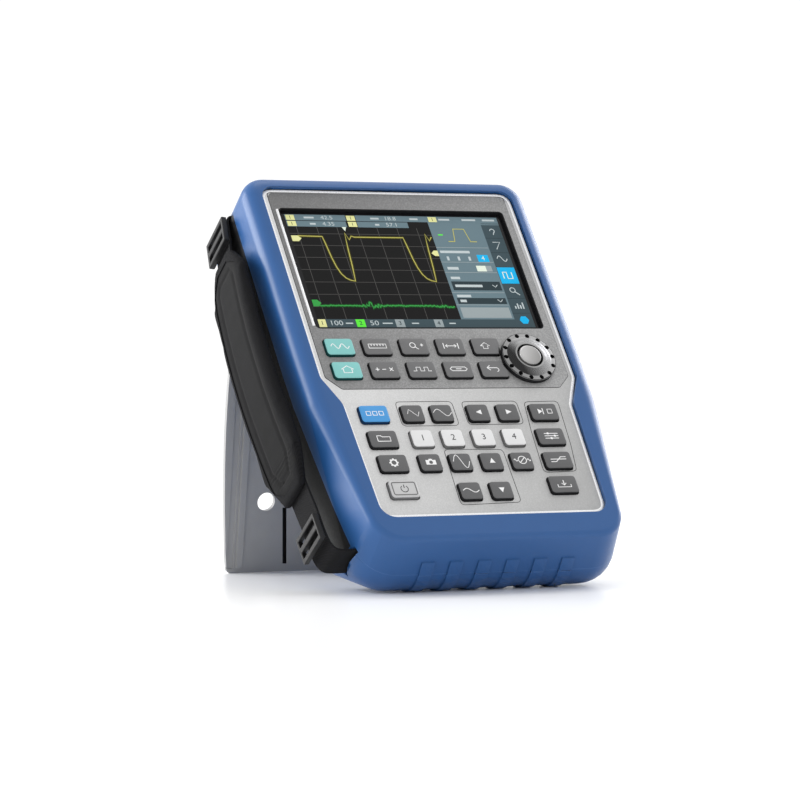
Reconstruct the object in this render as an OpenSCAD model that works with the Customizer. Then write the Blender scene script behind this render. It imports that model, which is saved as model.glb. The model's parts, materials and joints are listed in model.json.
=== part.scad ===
// Portable four channel oscilloscope, leaning back on its open stand.
// Every part is drawn upright in the case's own frame (x across, y into the case, z up the case),
// then place() leans the case back and sets it on the table.

/* [Case] */
// Half of the case width across the top half
case_half_w = 100.5; // [100:0.1:101]
// Length of the case from bottom to top
case_len = 293; // [292:0.5:294]
// Depth of the case with the stand folded
case_depth = 74; // [74:0.5:76]
// Wall thickness of both shells
wall = 3; // [2.6:0.1:3]
// Angle the case leans back from upright
lean = 37.3; // [37.3:0.1:37.3]

/* [Front] */
// Height of the keys above the panel face
key_proud = 2.5; // [2:0.1:3]
// Gap between a key and its hole
key_gap = 0.35; // [0.25:0.05:0.5]
// Radius of the notched wheel
wheel_r = 18.4; // [18:0.1:18.6]

/* [Strap] */
// Width of the padded hand strap
pad_w = 54; // [50:1:56]
// Thickness of the padded hand strap
pad_t = 8; // [6:0.5:9]
// Width of the webbing
web_w = 25; // [20:1:25]
// Thickness of the webbing
web_t = 1.6; // [1.4:0.1:1.8]

/* [Stand] */
// Thickness of the stand plate
stand_t = 3.2; // [3:0.1:3.4]
// Length of the stand from its pins to its foot
stand_len = 164.7; // [164.7:0.1:164.7]
// Radius of the round hole near the stand's edge
stand_hole_r = 6.1; // [5:0.1:6.5]

/* [Hidden] */
// Angle between the open stand and the case's back
stand_open = 49.35;
// Plate left under the long grooves of the stand
groove_floor = 0.8;
// Offsets that put the origin at the middle of the footprint, on the table
shift_x = 8.65;
shift_y = -119.576;
lift = 25.453;

$fn = 48;
curve_fn = 32;
eps = 0.01;

// shell
edge_r = 10;
back_r = 12;
belly_r = 22;
seam_y = 25;
panel_y = 3;
panel_t = 2;
panel_lip = 1.2;
rib_h = 1.0;
rib_w = 8.7;
rib_pitch = 19.2;
rib_y0 = 16;
rib_y1 = 50;

// front panel outline
panel_top = 282.4;
panel_bottom = 27;
panel_hw_top = 90;
panel_hw_waist = 80.4;
panel_hw_bottom = 77.6;
waist_top_z = 131;
waist_bottom_z = 111;

// display
glass_hw = 82;
glass_z0 = 166;
glass_z1 = 271;
glass_y = 5.5;
glass_t = 1.5;
window_hw = 80.5;
window_z0 = 170.5;
window_z1 = 267;

// keys
key_h = 13;
key_w = 19.6;
key_w_small = 15;
key_r = 2.2;
key_base_y = 6.4;
row_a = 155.2;
row_b = 137.2;
row_c = 103.8;
row_d = 84.9;
row_e = 66.9;
row_f = 45.4;
col_top = [-69.5, -43.9, -18.2, 7.3, 32.5];
col_small = [-33.6, -12.7, 8.5, 29.6];
side_left = [-60.7, -60.1, -58.6, -57.2];
side_right = [57.3, 56.0, 55.0, 52.8];
power_z = 47.8;
acquire_z = 48.6;
time_x = [-34.5, -14.4];
pos_x = [11.0, 31.6];

// wheel
wheel_x = 59.5;
wheel_z = 145.5;
wheel_clear_r = 20.2;
wheel_y0 = 2.6;
wheel_y1 = -0.9;
wheel_top_y = -2.6;
notch_r = 1.7;
notch_count = 14;
button_r = 7.4;
button_y = -3.4;
shaft_r = 3.0;
run_gap = 0.05;

// rear
zone_z0 = 54.5;
zone_z1 = 226.5;
zone_y = 67.8;
hinge_y = 67.0;
hinge_z = 221;
pin_r = 2.0;
barrel_r = 3.6;
barrel_x = 62;
barrel_len = 22;
bnc_x = [-60, -20, 20, 60];
bnc_y = 40;
bnc_r = 4.83;
bnc_top = 301;
bnc_collar = 4.2;
bnc_neck_r = 4.6;
bnc_lug_z = 295.4;
shroud_r = 8.2;
fan_x = 45;
fan_z = 252;
fan_r = 16;
port_z = 195;
port_y = 44.5;
port_w = 30;
port_h = 60;
port_hinge_y = 30.6;
port_hinge_x = 98.4;
port_pin_r = 0.9;

blue = [0.10, 0.26, 0.58];
dark = [0.20, 0.21, 0.22];
black = [0.05, 0.05, 0.055];
silver = [0.66, 0.67, 0.68];
steel = [0.72, 0.72, 0.73];
green = [0.05, 0.30, 0.16];

// ---------- helpers ----------

module place()
    translate([shift_x, shift_y, lift])
        rotate([-lean, 0, 0])
            children();

// Upright flat outline turned to face the front, from depth y0 to y1
module slab(y0, y1)
    translate([0, y1, 0])
        rotate([90, 0, 0])
            linear_extrude(height = y1 - y0)
                children();

// Cylinder along the depth of the case
module peg(x, z, y0, y1, r)
    translate([x, y0, z])
        rotate([-90, 0, 0])
            cylinder(h = y1 - y0, r = r);

// Box given by its low and high corners
module block(low, high)
    translate(low)
        cube(high - low);

// Arc points that round one corner of an outline
function unit(v) = v / norm(v);
function corner_arc(a, b, c, r, n) =
    let (u = unit(a - b), v = unit(c - b), w = unit(u + v),
         half = acos(u * v) / 2,
         o = b + w * (r / sin(half)),
         p0 = b + u * (r / tan(half)) - o,
         turn = sign(u[0] * v[1] - u[1] * v[0]) * -(180 - 2 * half))
    [for (i = [0 : n])
        o + [p0[0] * cos(turn * i / n) - p0[1] * sin(turn * i / n),
             p0[0] * sin(turn * i / n) + p0[1] * cos(turn * i / n)]];
function rounded(pts, r, n) =
    let (m = len(pts))
    [for (i = [0 : m - 1])
        each corner_arc(pts[(i + m - 1) % m], pts[i], pts[(i + 1) % m], r[i], n)];

module panel_outline(grow) {
    hw = [panel_hw_bottom, panel_hw_waist, panel_hw_top, panel_hw_top];
    zz = [panel_bottom - grow, waist_bottom_z + grow * 0.4, waist_top_z, panel_top + grow];
    right = [for (i = [0 : 3]) [hw[i] + grow, zz[i]]];
    left = [for (i = [3 : -1 : 0]) [-hw[i] - grow, zz[i]]];
    rr = [10 + grow, 14, 8, 9 + grow];
    polygon(rounded(concat(right, left), concat(rr, [for (i = [3 : -1 : 0]) rr[i]]), 6));
}

module field_outline() {
    hw = 85;
    pts = [[76, 124], [hw, 133], [hw, 279.5], [-hw, 279.5], [-hw, 133], [-76, 124]];
    polygon(rounded(pts, [2, 3, 5, 5, 3, 2], 5));
}

module round_box(w, h, r)
    polygon(rounded([[w / 2, -h / 2], [w / 2, h / 2], [-w / 2, h / 2], [-w / 2, -h / 2]], [r, r, r, r], 6));

// Disc with a round edge, facing the front
module edge_disc(x, y, z, major, minor)
    for (s = [-1, 1])
        translate([s * x, y, z])
            rotate([90, 0, 0])
                rotate_extrude($fn = curve_fn)
                    intersection() {
                        translate([major, 0])
                            circle(r = minor, $fn = curve_fn);
                        translate([0, -minor])
                            square([major + minor, 2 * minor]);
                    }

// Whole case, shrunk by inset on every side
module case_form(inset) {
    hull() {
        edge_disc(case_half_w - 16, edge_r, case_len - 16, 6, edge_r - inset);
        edge_disc(case_half_w - edge_r - 1, edge_r, 152, 1, edge_r - inset);
        edge_disc(case_half_w - edge_r - 1.9, edge_r, 115, 1, edge_r - inset);
        edge_disc(66, 4.5, 31, 17, 4.5 - inset);
        edge_disc(66.5, 33, 25, 3, belly_r - inset);
        edge_disc(72, case_depth - back_r, 46, 8, back_r - inset);
        edge_disc(case_half_w - back_r - 1, case_depth - back_r, 152, 1, back_r - inset);
        edge_disc(case_half_w - 20, case_depth - back_r, case_len - 20, 8, back_r - inset);
    }
}

// Case with its grip ribs underneath, between two depths
module case_body(y0, y1)
    intersection() {
        union() {
            case_form(0);
            intersection() {
                case_form(-rib_h);
                for (i = [-2.5 : 1 : 2.5])
                    block([i * rib_pitch - rib_w / 2, rib_y0, -5], [i * rib_pitch + rib_w / 2, rib_y1, 16]);
            }
        }
        block([-120, y0, -5], [120, y1, 300]);
    }

// ---------- shells ----------

// Slot the lower webbing is threaded through
module web_slot_low()
    block([-110, 36 - web_w / 2 - 1, 17.5], [-84, 36 + web_w / 2 + 1, 22]);

module front_shell()
    color(blue)
        place()
            difference() {
                case_body(-5, seam_y);
                translate([0, 1.1, 0])
                    case_form(wall);
                slab(-1, panel_y + 0.5)
                    panel_outline(0);
                slab(panel_y, panel_y + panel_t + 0.2)
                    panel_outline(panel_lip + 0.15);
                web_slot_low();
            }

module rear_shell()
    color(blue)
        place()
            difference() {
                case_body(seam_y + eps, 80);
                difference() {
                    case_form(wall);
                    block([-120, zone_y - wall, zone_z0 - wall], [120, 80, zone_z1 + wall]);
                    block([-99, 36 - web_w / 2 - 3, 10], [-80, 36 + web_w / 2 + 3, 30]);
                }
                // recess the folded stand lies in
                block([-120, zone_y, zone_z0], [120, 80, zone_z1]);
                // hinge pockets and pin bores
                for (s = [-1, 1])
                    translate([s * barrel_x, 0, 0]) {
                        block([-barrel_len / 2 - 0.3, hinge_y - barrel_r - 0.4, hinge_z - barrel_r - 7],
                            [barrel_len / 2 + 0.3, 80, hinge_z + barrel_r + 0.4]);
                        translate([0, hinge_y, hinge_z])
                            rotate([0, 90, 0])
                                cylinder(h = barrel_len + 12, r = pin_r, center = true);
                    }
                // battery bay
                block([-62, zone_y - wall - 1, 88], [62, zone_y + 1, 196]);
                // vents over the fan and beside it
                for (s = [-1, 1])
                    for (i = [-3 : 3])
                        block([s * fan_x + i * 5 - 1.2, 65, fan_z - 13],
                            [s * fan_x + i * 5 + 1.2, 80, fan_z + 13]);
                // input sockets through the top
                for (x = bnc_x)
                    translate([x, bnc_y, case_len - 15])
                        cylinder(h = 30, r = shroud_r);
                // port bay and its cover
                block([port_hinge_x - 1.2, port_y - port_w / 2 - 1.2, port_z - port_h / 2 - 0.3],
                    [110, port_y + port_w / 2 + 0.3, port_z + port_h / 2 + 0.3]);
                block([80, port_y - 9, port_z - 26], [110, port_y + 11, port_z + 26]);
                translate([port_hinge_x, port_hinge_y, port_z])
                    cylinder(h = port_h + 5, r = port_pin_r + run_gap, center = true);
                // slots the webbing is threaded through
                web_slot_low();
                block([-110, 43 - web_w / 2 - 1, 281], [-90, 43 + web_w / 2 + 1, 285]);
                // screw wells
                for (s = [-1, 1])
                    for (z = [70, 240])
                        peg(s * 80, z, 55, 80, 2.6);
            }

// ---------- front ----------

module key_hole(x, z, w)
    translate([x, z])
        round_box(w + 2 * key_gap, key_h + 2 * key_gap, key_r + key_gap);

module all_key_holes() {
    for (x = col_top)
        for (z = [row_a, row_b])
            key_hole(x, z, key_w);
    for (i = [0 : 2]) {
        z = [row_c, row_d, row_e][i];
        key_hole(side_left[i], z, key_w);
        key_hole(side_right[i], z, key_w);
    }
    for (x = concat(time_x, pos_x))
        key_hole(x, row_c, key_w_small);
    for (x = col_small)
        for (z = [row_d, row_e])
            key_hole(x, z, key_w_small);
    key_hole(side_left[3], power_z, key_w);
    key_hole(side_right[3], acquire_z, key_w);
    for (i = [1, 2])
        key_hole(col_small[i], row_f, key_w_small);
}

module window_outline(grow)
    translate([0, (window_z0 + window_z1) / 2])
        round_box(2 * window_hw + 2 * grow, window_z1 - window_z0 + 2 * grow, 3 + grow);

module front_panel()
    color(silver)
        place()
            difference() {
                slab(panel_y, panel_y + panel_t)
                    panel_outline(panel_lip);
                slab(panel_y - 1, panel_y + 0.4)
                    field_outline();
                slab(panel_y - 1, panel_y + 5)
                    window_outline(0);
                slab(panel_y - 1, panel_y + 5)
                    all_key_holes();
                peg(wheel_x, wheel_z, panel_y - 1, panel_y + 5, 9);
            }

module key_field()
    color(dark)
        place()
            difference() {
                slab(panel_y - 0.3, panel_y + 0.4)
                    field_outline();
                slab(panel_y - 1, panel_y + 5)
                    window_outline(0);
                slab(panel_y - 1, panel_y + 5)
                    all_key_holes();
                peg(wheel_x, wheel_z, panel_y - 1, panel_y + 5, 9);
            }

module touch_glass()
    color([0.03, 0.03, 0.035])
        place()
            slab(glass_y, glass_y + glass_t)
                translate([0, (glass_z0 + glass_z1) / 2])
                    round_box(2 * glass_hw, glass_z1 - glass_z0, 3);

module lcd_module()
    color(steel)
        place()
            union() {
                block([-79.5, 7.2, 168.5], [79.5, 12.6, 268.5]);
                for (x = [-60, 60])
                    for (z = [178, 259])
                        peg(x, z, 12.6, 14, 3);
            }

// Rubber sheet with a pad under each key
module keypad_mat()
    color(black)
        place()
            difference() {
                slab(7.8, 9)
                    polygon(rounded([[74, 34], [76, 108], [84, 130], [84, 163.5],
                        [-84, 163.5], [-84, 130], [-76, 108], [-74, 34]], [4, 4, 4, 4, 4, 4, 4, 4], 3));
                peg(wheel_x, wheel_z, 7, 10, 11);
            }

module main_board()
    color(green)
        place()
            difference() {
                union() {
                    block([-88, 17, 40], [88, 18.6, 282]);
                    for (x = [-60, -20, 20, 60])
                        block([x - 12, 18.6, 262], [x + 12, 24, 280]);
                    block([-70, 18.6, 60], [-30, 21, 100]);
                    block([30, 18.6, 90], [66, 22, 126]);
                }
                for (x = [-82, 82])
                    for (z = [48, 274])
                        peg(x, z, 16, 20, 1.8);
            }

module shield_can()
    color(steel)
        place()
            difference() {
                block([-78, 18.6, 150], [78, 30, 255]);
                block([-77, 18, 151], [77, 29, 254]);
                for (i = [-6 : 6])
                    peg(i * 10, 240, 28, 31, 1.6);
            }

module battery_pack()
    color([0.12, 0.12, 0.13])
        place()
            union() {
                block([-60, 36, 90], [60, 64.5, 194]);
                block([-12, 33.5, 96], [12, 36, 110]);
            }

module battery_cover()
    color(blue)
        place()
            difference() {
                block([-61.7, zone_y - wall, 88.3], [61.7, zone_y, 195.7]);
                for (i = [-2 : 2])
                    block([i * 6 - 1.2, zone_y - 1, 182], [i * 6 + 1.2, zone_y + 1, 190]);
                for (x = [-54, 54])
                    peg(x, 96, zone_y - 5, zone_y + 1, 1.8);
            }

// ---------- fan ----------

module fan_frame()
    color(black)
        place()
            union() {
                difference() {
                    block([fan_x - 20, 58, fan_z - 20], [fan_x + 20, 70, fan_z + 20]);
                    peg(fan_x, fan_z, 57, 71, fan_r + 1.5);
                    for (sx = [-1, 1])
                        for (sz = [-1, 1])
                            peg(fan_x + sx * 16.5, fan_z + sz * 16.5, 57, 71, 1.6);
                }
                for (a = [0, 120, 240])
                    translate([fan_x, 0, fan_z])
                        rotate([0, a, 0])
                            block([5, 58, -1], [fan_r + 2, 59.4, 1]);
                peg(fan_x, fan_z, 58, 59.4, 7);
                peg(fan_x, fan_z, 59.4, 67, 1.5);
            }

module fan_rotor()
    color([0.10, 0.10, 0.11])
        place()
            difference() {
                union() {
                    peg(fan_x, fan_z, 60, 69, 7.5);
                    for (a = [0 : 51.4286 : 350])
                        translate([fan_x, 64.5, fan_z])
                            rotate([0, a, 0])
                                translate([11, 0, 0])
                                    rotate([38, 0, 0])
                                        cube([9, 9, 1.1], center = true);
                }
                peg(fan_x, fan_z, 59, 68, 1.5 + run_gap);
            }

// ---------- connectors ----------

module bnc_inputs()
    color(steel)
        place()
            for (x = bnc_x)
                translate([x, bnc_y, 0])
                    difference() {
                        union() {
                            translate([0, 0, 276])
                                cylinder(h = bnc_top - bnc_collar - 276, r = bnc_neck_r);
                            translate([0, 0, bnc_top - bnc_collar])
                                cylinder(h = bnc_collar, r = bnc_r);
                            translate([0, 0, 280])
                                cylinder(h = 3, r = 6.5);
                            translate([0, 0, bnc_lug_z])
                                rotate([0, 90, 0])
                                    cylinder(h = 11.2, r = 0.95, center = true);
                            translate([0, 0, 270])
                                cylinder(h = 6, r = 1);
                        }
                        difference() {
                            translate([0, 0, 288])
                                cylinder(h = 20, r = 4.05);
                            translate([0, 0, 287])
                                cylinder(h = 11, r = 2.4);
                        }
                        translate([0, 0, 290])
                            cylinder(h = 20, r = 0.7);
                    }

module bnc_shrouds()
    color(dark)
        place()
            for (x = bnc_x)
                translate([x, bnc_y, 0])
                    difference() {
                        union() {
                            translate([0, 0, 283])
                                cylinder(h = 10.8, r = shroud_r - 0.1);
                            translate([0, 0, case_len + eps])
                                cylinder(h = 0.9, r = shroud_r + 1.2);
                        }
                        translate([0, 0, 282])
                            cylinder(h = 14, r = bnc_r + 0.15);
                    }

module port_cover()
    color(dark)
        place()
            union() {
                difference() {
                    block([port_hinge_x - 0.7, port_hinge_y, port_z - port_h / 2],
                        [port_hinge_x + 1.6, port_y + port_w / 2, port_z + port_h / 2]);
                    for (i = [-3 : 3])
                        block([port_hinge_x + 1.1, port_y + 8, port_z + i * 4 - 0.8],
                            [port_hinge_x + 2, port_y + 12, port_z + i * 4 + 0.8]);
                }
                translate([port_hinge_x, port_hinge_y, port_z])
                    cylinder(h = port_h, r = 1, center = true);
                translate([port_hinge_x, port_hinge_y, port_z])
                    cylinder(h = port_h + 3.4, r = port_pin_r, center = true);
            }

// Network socket, two flat sockets and the round charging socket
module port_block()
    color([0.16, 0.16, 0.17])
        place()
            difference() {
                block([84, port_y - 8.5, port_z - 25.5], [96.2, port_y + 10.5, port_z + 25.5]);
                block([86, port_y - 5, port_z + 7], [100, port_y + 8, port_z + 20]);
                block([86, port_y - 6, port_z - 2], [100, port_y + 8, port_z + 3]);
                translate([86, port_y + 1, port_z - 15])
                    rotate([0, 90, 0])
                        cylinder(h = 20, r = 4.2);
            }

// ---------- stand ----------

// Stand drawn hanging straight down from its pins, foot at the bottom, outer face towards +y
module stand_outline() {
    step = stand_len / 12;
    half = [for (i = [0 : 12]) 91 + 9 * sin(min(90, 90 * i * step / 130))];
    n = len(half) - 1;
    right = [for (i = [1 : n]) [half[i], -stand_len + step * i]];
    pts = concat([[half[0] - 2.5, -stand_len], [half[0] - 0.4, -stand_len + 1.4]], right);
    polygon(concat(pts, [for (i = [len(pts) - 1 : -1 : 0]) [-pts[i][0], pts[i][1]]]));
}

module stand()
    color([0.45, 0.46, 0.47])
        place()
            translate([0, hinge_y, hinge_z])
                rotate([stand_open, 0, 0])
                    difference() {
                        union() {
                            // plate
                            slab(2.2, 2.2 + stand_t)
                                difference() {
                                    stand_outline();
                                    translate([-120, -4])
                                        square([240, 20]);
                                }
                            // raised ribs beside each edge
                            for (s = [-1, 1])
                                slab(2.2 - 1.3, 2.3)
                                    polygon([[s * 84.5, -stand_len + 4], [s * 80.5, -stand_len + 4],
                                        [s * 84, -12], [s * 88.5, -12]]);
                            // hinge barrels and their webs
                            for (s = [-1, 1]) {
                                translate([s * barrel_x, 0, 0])
                                    rotate([0, 90, 0])
                                        cylinder(h = barrel_len, r = barrel_r, center = true);
                                block([s * barrel_x - barrel_len / 2, 0, -10],
                                    [s * barrel_x + barrel_len / 2, 2.3, 0]);
                            }
                        }
                        for (s = [-1, 1]) {
                            translate([s * barrel_x, 0, 0])
                                rotate([0, 90, 0])
                                    cylinder(h = barrel_len + 2, r = pin_r + run_gap, center = true);
                            // hanging holes
                            peg(s * 66.6, -stand_len + 47.7, -1, 10, stand_hole_r);
                            // long grooves
                            slab(-1, 2.2 + stand_t - groove_floor)
                                polygon([[s * 51.1, -stand_len + 5.5], [s * 48.3, -stand_len + 5.5],
                                    [s * 51.8, -stand_len + 43.5], [s * 54.6, -stand_len + 43.5]]);
                            // groove band along each edge
                            slab(1, 2.2 + 0.9)
                                polygon([[s * 86.5, -stand_len + 3], [s * 91, -stand_len + 3],
                                    [s * 95.2, -16], [s * 90.5, -16]]);
                        }
                    }

module stand_pins()
    color(steel)
        place()
            for (s = [-1, 1])
                translate([s * barrel_x, hinge_y, hinge_z])
                    rotate([0, 90, 0])
                        cylinder(h = barrel_len + 10, r = pin_r, center = true);

// ---------- wheel ----------

module encoder()
    color([0.30, 0.31, 0.32])
        place()
            difference() {
                union() {
                    peg(wheel_x, wheel_z, 5.4, 9, 8.4);
                    block([wheel_x - 9, 9, wheel_z - 9], [wheel_x + 9, 14, wheel_z + 9]);
                    peg(wheel_x, wheel_z, 1, 5.4, 4.8);
                }
                peg(wheel_x, wheel_z, 0, 8, shaft_r + run_gap);
            }

module wheel_knob()
    color(dark)
        place()
            difference() {
                union() {
                    peg(wheel_x, wheel_z, wheel_y1, wheel_y0, wheel_r);
                    peg(wheel_x, wheel_z, wheel_top_y, wheel_y1, 14.2);
                }
                // notches round the skirt
                for (a = [0 : 360 / notch_count : 359])
                    translate([wheel_x, 0, wheel_z])
                        rotate([0, a, 0])
                            peg(wheel_r - 1.9, 0, wheel_y1 - 1, wheel_y0 - 1.4, notch_r);
                // well for the push button
                peg(wheel_x, wheel_z, -5, 0.6, 8.6);
                peg(wheel_x, wheel_z, 0, 3, 4.8 + run_gap);
            }

module wheel_button()
    color(steel)
        place()
            union() {
                peg(wheel_x, wheel_z, button_y, -0.9, button_r);
                peg(wheel_x, wheel_z, -1, 5.6, shaft_r);
            }

// ---------- strap ----------

// Distance the strap stands out from the middle of the case, by height
function strap_x(z) = 107.6 + 6.2 * sin(180 * min(1, max(0, (z - 62) / 196)));

// Webbing that follows a path seen from the front
function side(pts, i, h) =
    let (d = unit(pts[min(len(pts) - 1, i + 1)] - pts[max(0, i - 1)]))
    pts[i] + h * [-d[1], d[0]];

module web_path(pts, t)
    translate([0, web_w / 2, 0])
        rotate([90, 0, 0])
            linear_extrude(height = web_w)
                polygon(concat(
                    [for (i = [0 : len(pts) - 1]) side(pts, i, t / 2)],
                    [for (i = [len(pts) - 1 : -1 : 0]) side(pts, i, -t / 2)]));

module strap_pad()
    color(black)
        place()
            intersection() {
                translate([0, 37 + pad_w / 2, 0])
                    rotate([90, 0, 0])
                        linear_extrude(height = pad_w)
                            polygon(concat(
                                [for (z = [68 : 7 : 250]) [-strap_x(z) + pad_t / 2, z]],
                                [for (z = [250 : -7 : 68]) [-strap_x(z) - pad_t / 2, z]]));
                translate([-140, 37, 0])
                    rotate([90, 0, 90])
                        linear_extrude(height = 60)
                            polygon(rounded([[14, 68], [pad_w / 2, 92], [pad_w / 2, 232], [13.5, 250],
                                [-13.5, 250], [-pad_w / 2, 232], [-pad_w / 2, 92], [-14, 68]],
                                [4, 18, 18, 4, 4, 18, 18, 4], 5));
            }

module web_upper()
    color(black)
        place()
            translate([0, 43, 0])
                web_path([[-108, 250.8], [-105.6, 262], [-104.2, 272], [-103.2, 278.5], [-101.2, 282],
                    [-97, 283], [-92, 283]], web_t);

module web_lower()
    color(black)
        place()
            translate([0, 36, 0])
                web_path([[-108.4, 67.2], [-106.8, 50], [-106.2, 36], [-104.9, 26], [-101.5, 20.8],
                    [-96, 19.6], [-86, 19.6]], web_t);

// Flat frame with a middle bar, lying in the strap's plane
module ladder(w, l, t)
    difference() {
        translate([-t / 2, -w / 2, -l / 2])
            cube([t, w, l]);
        for (s = [-1, 1])
            translate([0, 0, s * l / 4 - s * 0.6])
                cube([t + 1, web_w + 0.8, l / 2 - 5], center = true);
    }

module buckle_upper()
    color([0.04, 0.04, 0.045])
        place()
            translate([-107.5, 43, 270])
                rotate([0, 8, 0])
                    ladder(31, 19, 3.6);

module buckle_lower()
    color([0.04, 0.04, 0.045])
        place()
            translate([-109.6, 36, 37])
                rotate([0, -2, 0])
                    ladder(29.8, 18, 3.6);

// ---------- screws ----------

module case_screws()
    color(steel)
        place()
            for (s = [-1, 1])
                for (z = [70, 240])
                    difference() {
                        union() {
                            peg(s * 80, z, 60, 63, 2.5);
                            peg(s * 80, z, 40, 60, 1.5);
                        }
                        peg(s * 80, z, 61.5, 64, 1.2);
                    }

// ---------- keys ----------

module key(x, z, w, tint)
    color(tint)
        place()
            difference() {
                union() {
                    slab(panel_y - key_proud + 0.4, key_base_y)
                        translate([x, z])
                            round_box(w, key_h, key_r);
                    slab(panel_y - key_proud, panel_y)
                        translate([x, z])
                            round_box(w - 0.8, key_h - 0.8, key_r - 0.4);
                    slab(key_base_y - 1, key_base_y)
                        translate([x, z])
                            round_box(w + 1.8, key_h + 1.8, key_r);
                }
                peg(wheel_x, wheel_z, -5, 5.2, wheel_clear_r);
                peg(wheel_x, wheel_z, 5, 10, 10);
            }

teal = [0.20, 0.62, 0.62];
mode_blue = [0.12, 0.40, 0.75];
white = [0.86, 0.87, 0.88];
grey = [0.28, 0.29, 0.30];

module key_auto() key(col_top[0], row_a, key_w, teal);
module key_meas() key(col_top[1], row_a, key_w, grey);
module key_zoom() key(col_top[2], row_a, key_w, grey);
module key_cursor() key(col_top[3], row_a, key_w, grey);
module key_shift() key(col_top[4], row_a, key_w, grey);
module key_preset() key(col_top[0], row_b, key_w, teal);
module key_math() key(col_top[1], row_b, key_w, grey);
module key_logic() key(col_top[2], row_b, key_w, grey);
module key_bus() key(col_top[3], row_b, key_w, grey);
module key_back() key(col_top[4], row_b, key_w, grey);
module key_mode() key(side_left[0], row_c, key_w, mode_blue);
module key_time_less() key(time_x[0], row_c, key_w_small, grey);
module key_time_more() key(time_x[1], row_c, key_w_small, grey);
module key_left() key(pos_x[0], row_c, key_w_small, grey);
module key_right() key(pos_x[1], row_c, key_w_small, grey);
module key_run() key(side_right[0], row_c, key_w, grey);
module key_file() key(side_left[1], row_d, key_w, grey);
module key_one() key(col_small[0], row_d, key_w_small, white);
module key_two() key(col_small[1], row_d, key_w_small, white);
module key_three() key(col_small[2], row_d, key_w_small, white);
module key_four() key(col_small[3], row_d, key_w_small, white);
module key_setup() key(side_right[1], row_d, key_w, grey);
module key_gear() key(side_left[2], row_e, key_w, grey);
module key_camera() key(col_small[0], row_e, key_w_small, grey);
module key_range_more() key(col_small[1], row_e, key_w_small, grey);
module key_up() key(col_small[2], row_e, key_w_small, grey);
module key_signal() key(col_small[3], row_e, key_w_small, grey);
module key_level() key(side_right[2], row_e, key_w, grey);
module key_power() key(side_left[3], power_z, key_w, silver);
module key_range_less() key(col_small[1], row_f, key_w_small, grey);
module key_down() key(col_small[2], row_f, key_w_small, grey);
module key_acquire() key(side_right[3], acquire_z, key_w, grey);

front_shell();
rear_shell();
front_panel();
key_field();
touch_glass();
lcd_module();
keypad_mat();
main_board();
shield_can();
battery_pack();
battery_cover();
fan_frame();
fan_rotor();
bnc_inputs();
bnc_shrouds();
port_cover();
port_block();
stand();
stand_pins();
encoder();
wheel_knob();
wheel_button();
strap_pad();
web_upper();
web_lower();
buckle_upper();
buckle_lower();
case_screws();
key_auto();
key_meas();
key_zoom();
key_cursor();
key_shift();
key_preset();
key_math();
key_logic();
key_bus();
key_back();
key_mode();
key_time_less();
key_time_more();
key_left();
key_right();
key_run();
key_file();
key_one();
key_two();
key_three();
key_four();
key_setup();
key_gear();
key_camera();
key_range_more();
key_up();
key_signal();
key_level();
key_power();
key_range_less();
key_down();
key_acquire();
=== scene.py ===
# Portable oscilloscope leaning on its folding stand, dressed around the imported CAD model.
import json
import math
import bmesh
import bpy
from mathutils import Matrix, Vector, noise


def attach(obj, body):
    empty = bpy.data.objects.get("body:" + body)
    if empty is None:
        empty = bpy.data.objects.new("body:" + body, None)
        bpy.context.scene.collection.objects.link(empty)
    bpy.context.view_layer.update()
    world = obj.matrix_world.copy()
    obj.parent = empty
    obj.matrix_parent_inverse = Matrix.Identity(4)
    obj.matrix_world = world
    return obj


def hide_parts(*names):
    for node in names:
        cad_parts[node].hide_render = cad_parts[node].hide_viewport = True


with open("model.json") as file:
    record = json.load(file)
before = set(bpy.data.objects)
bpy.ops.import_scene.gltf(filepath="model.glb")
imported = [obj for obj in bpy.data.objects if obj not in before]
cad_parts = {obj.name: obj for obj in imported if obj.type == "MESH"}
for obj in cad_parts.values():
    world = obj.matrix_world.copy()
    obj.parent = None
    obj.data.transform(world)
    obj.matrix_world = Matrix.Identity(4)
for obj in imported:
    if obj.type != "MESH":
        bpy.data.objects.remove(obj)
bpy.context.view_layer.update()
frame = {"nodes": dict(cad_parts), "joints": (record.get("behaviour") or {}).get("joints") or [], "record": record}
cadNodes = frame["nodes"]
joints = {joint["name"]: joint for joint in frame["joints"]}
bodyOf = {node: body for body, group in frame["record"]["behaviour"]["bodies"].items() for node in group}
scene = bpy.context.scene
print("frame loaded:", len(cadNodes), "nodes")

# Case frame: x across the case, y into it, z up it, in mm
wheelSpot = (59.5, 0, 145.5)
intoCase = Vector(joints["wheel_turn"]["axis"]).normalized()
upCase = -Vector(joints["port_cover_swing"]["axis"]).normalized()
acrossCase = intoCase.cross(upCase)
caseTurn = Matrix((acrossCase, intoCase, upCase)).transposed().to_4x4()
caseToWorld = (Matrix.Translation(Vector(joints["wheel_turn"]["pos_m"])) @ caseTurn
               @ Matrix.Scale(0.001, 4) @ Matrix.Translation(-Vector(wheelSpot)))
worldToCase = caseToWorld.inverted()
upright = Matrix.Rotation(math.pi / 2, 4, "X")   # stands a flat shape up against the front


def caseBox(node):
    points = [worldToCase @ vert.co for vert in cadNodes[node].data.vertices]
    low = Vector([min(point[axis] for point in points) for axis in range(3)])
    high = Vector([max(point[axis] for point in points) for axis in range(3)])
    return low, high


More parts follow.
